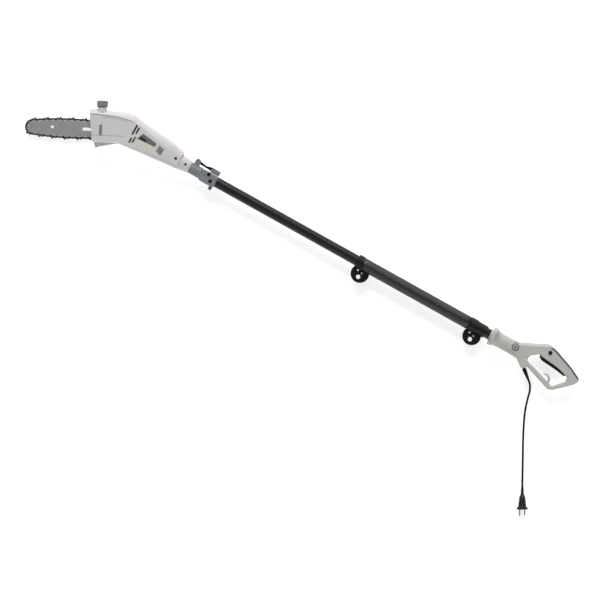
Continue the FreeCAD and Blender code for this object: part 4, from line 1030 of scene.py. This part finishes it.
# ------------------------------------------------------------------ saw head
@dataclass
class HeadDress:
    """Oil cap, rating panel and black discs of painted shade in the screw recesses of the saw head."""

    book: FinishBook
    cap_mm: tuple[float, float, float] = (-34.0, 65.3, 15.0)
    cap_radius_mm: float = 15.9
    flute_radius_mm: float = 16.6
    flutes: int = 24
    cap_gap_mm: float = 1.2
    cap_steps: tuple[tuple[float, float], ...] = (
        (16.6, 1.0), (1.2, 0.955), (0.9, 0.90), (-1.0, 0.93), (0.0, 0.6))
    panel_mm: tuple[tuple[float, float], ...] = (
        (-286.0, -3.0), (-276.5, 19.0), (-226.5, 12.6), (-227.5, 0.8))
    mark_mm: tuple[tuple[float, float], ...] = (
        (-281.0, 0.8), (-277.5, 9.0), (-258.0, 6.8), (-259.0, 0.0))
    # black discs set just under the rims of the screw recesses: painted shade of the recesses
    recess_shade_discs_mm: tuple[tuple[str, float, float], ...] = (
        ("head_left_shell", -156.2, 1.8), ("head_neck", -122.5, 0.7))
    band_mm: tuple[tuple[float, float], ...] = (
        (-288.0, -11.2), (-286.2, -4.2), (-227.6, -0.6), (-228.4, -15.8))
    rim_radius_mm: float = 5.5
    shade_disc_depth_mm: float = 0.4

    def build_cap(self) -> None:
        """Fluted oil cap with a bevelled rim and a dished top.

        Each of its steps is a rise in millimetres and a share that the top shrinks to.
        """
        matrix = axis_matrix(HEAD.point(*self.cap_mm), HEAD.direction(0, 1))
        points_each = 4
        mesh = bmesh.new()
        bmesh.ops.create_circle(mesh, cap_ends=True, radius=self.cap_radius_mm * MM,
                                segments=points_each * self.flutes)
        ridges = [v for i, v in enumerate(mesh.verts) if i % points_each in (1, 2)]
        bmesh.ops.scale(mesh, vec=(self.flute_radius_mm / self.cap_radius_mm,) * 3, verts=ridges)
        bmesh.ops.translate(mesh, vec=(0, 0, self.cap_gap_mm * MM), verts=mesh.verts)
        top = list(mesh.faces)
        for rise, scale in self.cap_steps:
            made = bmesh.ops.extrude_face_region(mesh, geom=top)
            verts = [v for v in made["geom"] if isinstance(v, bmesh.types.BMVert)]
            bmesh.ops.translate(mesh, vec=(0, 0, rise * MM), verts=verts)
            bmesh.ops.scale(mesh, vec=(scale, scale, 1), verts=verts)
            bmesh.ops.delete(mesh, geom=top, context="FACES_ONLY")
            top = [f for f in made["geom"] if isinstance(f, bmesh.types.BMFace)]
        tidy(mesh)
        mesh.transform(matrix)
        piece = to_object("fluted_oil_cap", mesh, self.book.get(CAP_GREY), 30.0)
        finish_piece(piece, Body.CAP, ["oil_cap"])

    def build_panel(self) -> None:
        """Rating panel without any lettering, on the left side of the case."""
        surface = surface_of("head_left_shell")
        layers = (("rating_panel", self.panel_mm, PANEL, 0.00025),
                  ("panel_band", self.band_mm, PANEL_BAND, 0.00025),
                  ("panel_mark", self.mark_mm, PANEL_MARK, 0.0004))
        for name, corners, finish, thickness in layers:
            mesh = sheet([POLE.point(x, y, HOVER_MM) for x, y in corners])
            lay_down(mesh, surface, thickness)
            piece = to_object(name, mesh, self.book.get(finish))
            finish_piece(piece, Body.HEAD)

    def rim_height(self, node: str, x: float, y: float) -> float:
        """Finds how high the rim of a screw's recess lies, from six places round it.

        Args:
            node: CAD node that the recess is in.
            x: the screw's place along the pole frame's X, in millimetres.
            y: its place along Y.

        Returns:
            Height of the rim's lowest part in the row frame, in metres.
        """
        surface = surface_of(node)
        heights = []
        for radians in range(6):
            start = POLE.point(x + self.rim_radius_mm * math.cos(radians),
                               y + self.rim_radius_mm * math.sin(radians), HOVER_MM)
            hit = surface.ray_cast(start, DOWN)[0]
            if hit is not None:
                heights.append(hit.z)
        return min(heights)

    def build_recess_shade_discs(self) -> None:
        """Black discs just under the rims of the screw recesses in the case and the neck: painted shade of the
        recesses.
        """
        profile = [(-3.0, 0.0), (-3.0, 3.9), (-0.3, 3.9), (0.0, 3.6), (0.0, 1.6), (-1.2, 1.5), (-1.2, 0.0)]
        for node, x, y in self.recess_shade_discs_mm:
            place = POLE.point(x, y)
            place.z = self.rim_height(node, x, y) - self.shade_disc_depth_mm * MM
            # each disc is black plastic across the recess mouth, painted shade of the recess
            piece = to_object(f"recess_shade_disc_{node}", lathe(profile, Matrix.Translation(place), 36),
                              self.book.get(BLACK))
            finish_piece(piece, Body.HEAD)

    def build(self) -> None:
        """Builds every piece of the head."""
        self.build_cap()
        self.build_panel()
        self.build_recess_shade_discs()


# ------------------------------------------------------------------ studio
@dataclass
class Studio:
    """Pale floor, soft lights and a camera that looks straight down."""

    roll: float = 29.16
    centre_mm: tuple[float, float] = (374.7, -186.7)
    width: float = 1.8
    distance: float = 9.0
    floor_size: float = 20.0
    floor_glow: float = 0.55
    softness: float = 35.0
    light_reach: float = 3.0
    key_height: float = 32.0
    key_power: float = 2.7
    fill_height: float = 30.0
    fill_power: float = 1.2
    air: float = 0.2
    sensor_mm: float = 36.0
    clip_end: float = 50.0

    def up(self) -> Vector:
        """Direction on the floor that the camera sees as up."""
        turn = math.radians(self.roll)
        return Vector((-math.sin(turn), math.cos(turn), 0.0))

    def build_floor(self) -> None:
        """Pale floor that glows a little, so that it looks close to white."""
        mesh = bmesh.new()
        bmesh.ops.create_grid(mesh, x_segments=1, y_segments=1, size=self.floor_size / 2)
        material, tree, shader = new_material("pale_floor")
        place = tree.add("ShaderNodeTexCoord").outputs["Object"]
        cloud = tree.add("ShaderNodeTexNoise", Vector=place, Scale=1.5, Detail=3.0)
        tint = tree.mixed(cloud.outputs["Fac"], opaque((0.93, 0.93, 0.93)), opaque((0.96, 0.96, 0.96)))
        tree.feed(shader.inputs["Base Color"], tint)
        shader.inputs["Roughness"].default_value = 0.9
        shader.inputs["Emission Color"].default_value = opaque((1.0, 1.0, 1.0))
        shader.inputs["Emission Strength"].default_value = self.floor_glow
        floor = to_object("studio_floor", mesh, material)

    def build_light(self, name: str, across: Vector, height: float, power: float) -> None:
        """Wide, even light from far off.

        Args:
            name: name of the light.
            across: level direction that it comes from.
            height: angle above the floor, in degrees.
            power: strength in watts to a square metre.
        """
        data = bpy.data.lights.new(name, "SUN")
        data.angle = math.radians(self.softness)
        data.energy = power
        tilt = math.radians(height)
        source = across * math.cos(tilt) + Vector((0, 0, math.sin(tilt)))
        light = bpy.data.objects.new(name, data)
        light.location = source * self.light_reach
        light.rotation_euler = (-source).to_track_quat("-Z", "Y").to_euler()
        bpy.context.scene.collection.objects.link(light)

    def build_lights(self) -> None:
        """Strong low light from the far side, a weaker one from the near side and pale air."""
        self.build_light("key", self.up(), self.key_height, self.key_power)
        self.build_light("low_fill", -self.up(), self.fill_height, self.fill_power)
        world = bpy.data.worlds.new("studio_air")
        world.use_nodes = True
        background = world.node_tree.nodes["Background"]
        background.inputs["Color"].default_value = opaque((1.0, 1.0, 1.0))
        background.inputs["Strength"].default_value = self.air
        bpy.context.scene.world = world

    def build_camera(self, centre: Vector) -> None:
        """Long lens that looks straight down on the saw.

        Args:
            centre: point of the row frame in the middle of the view.
        """
        data = bpy.data.cameras.new("camera")
        data.sensor_width = self.sensor_mm
        data.lens = data.sensor_width * self.distance / self.width
        data.clip_end = self.clip_end
        camera = bpy.data.objects.new("camera", data)
        camera.location = centre + Vector((0, 0, self.distance))
        camera.rotation_euler = (0.0, 0.0, math.radians(self.roll))
        bpy.context.scene.collection.objects.link(camera)
        bpy.context.scene.camera = camera

    def build(self) -> None:
        """Sets up everything round the saw."""
        centre = POLE.point(*self.centre_mm)
        self.build_camera(centre)
        self.build_floor()
        self.build_lights()
        bpy.context.scene.view_settings.view_transform = "Standard"


def main() -> None:
    """Builds the looks."""
    logging.basicConfig(level=logging.INFO, format="%(name)s: %(message)s")
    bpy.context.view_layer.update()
    book = FinishBook()
    Studio().build()
    SupplyCord(book).build()
    CarriedNodes(book).dress()
    PoleDress(book).build()
    HandleDress(book).build()
    HeadDress(book).build()


if __name__ == "__main__":
    main()
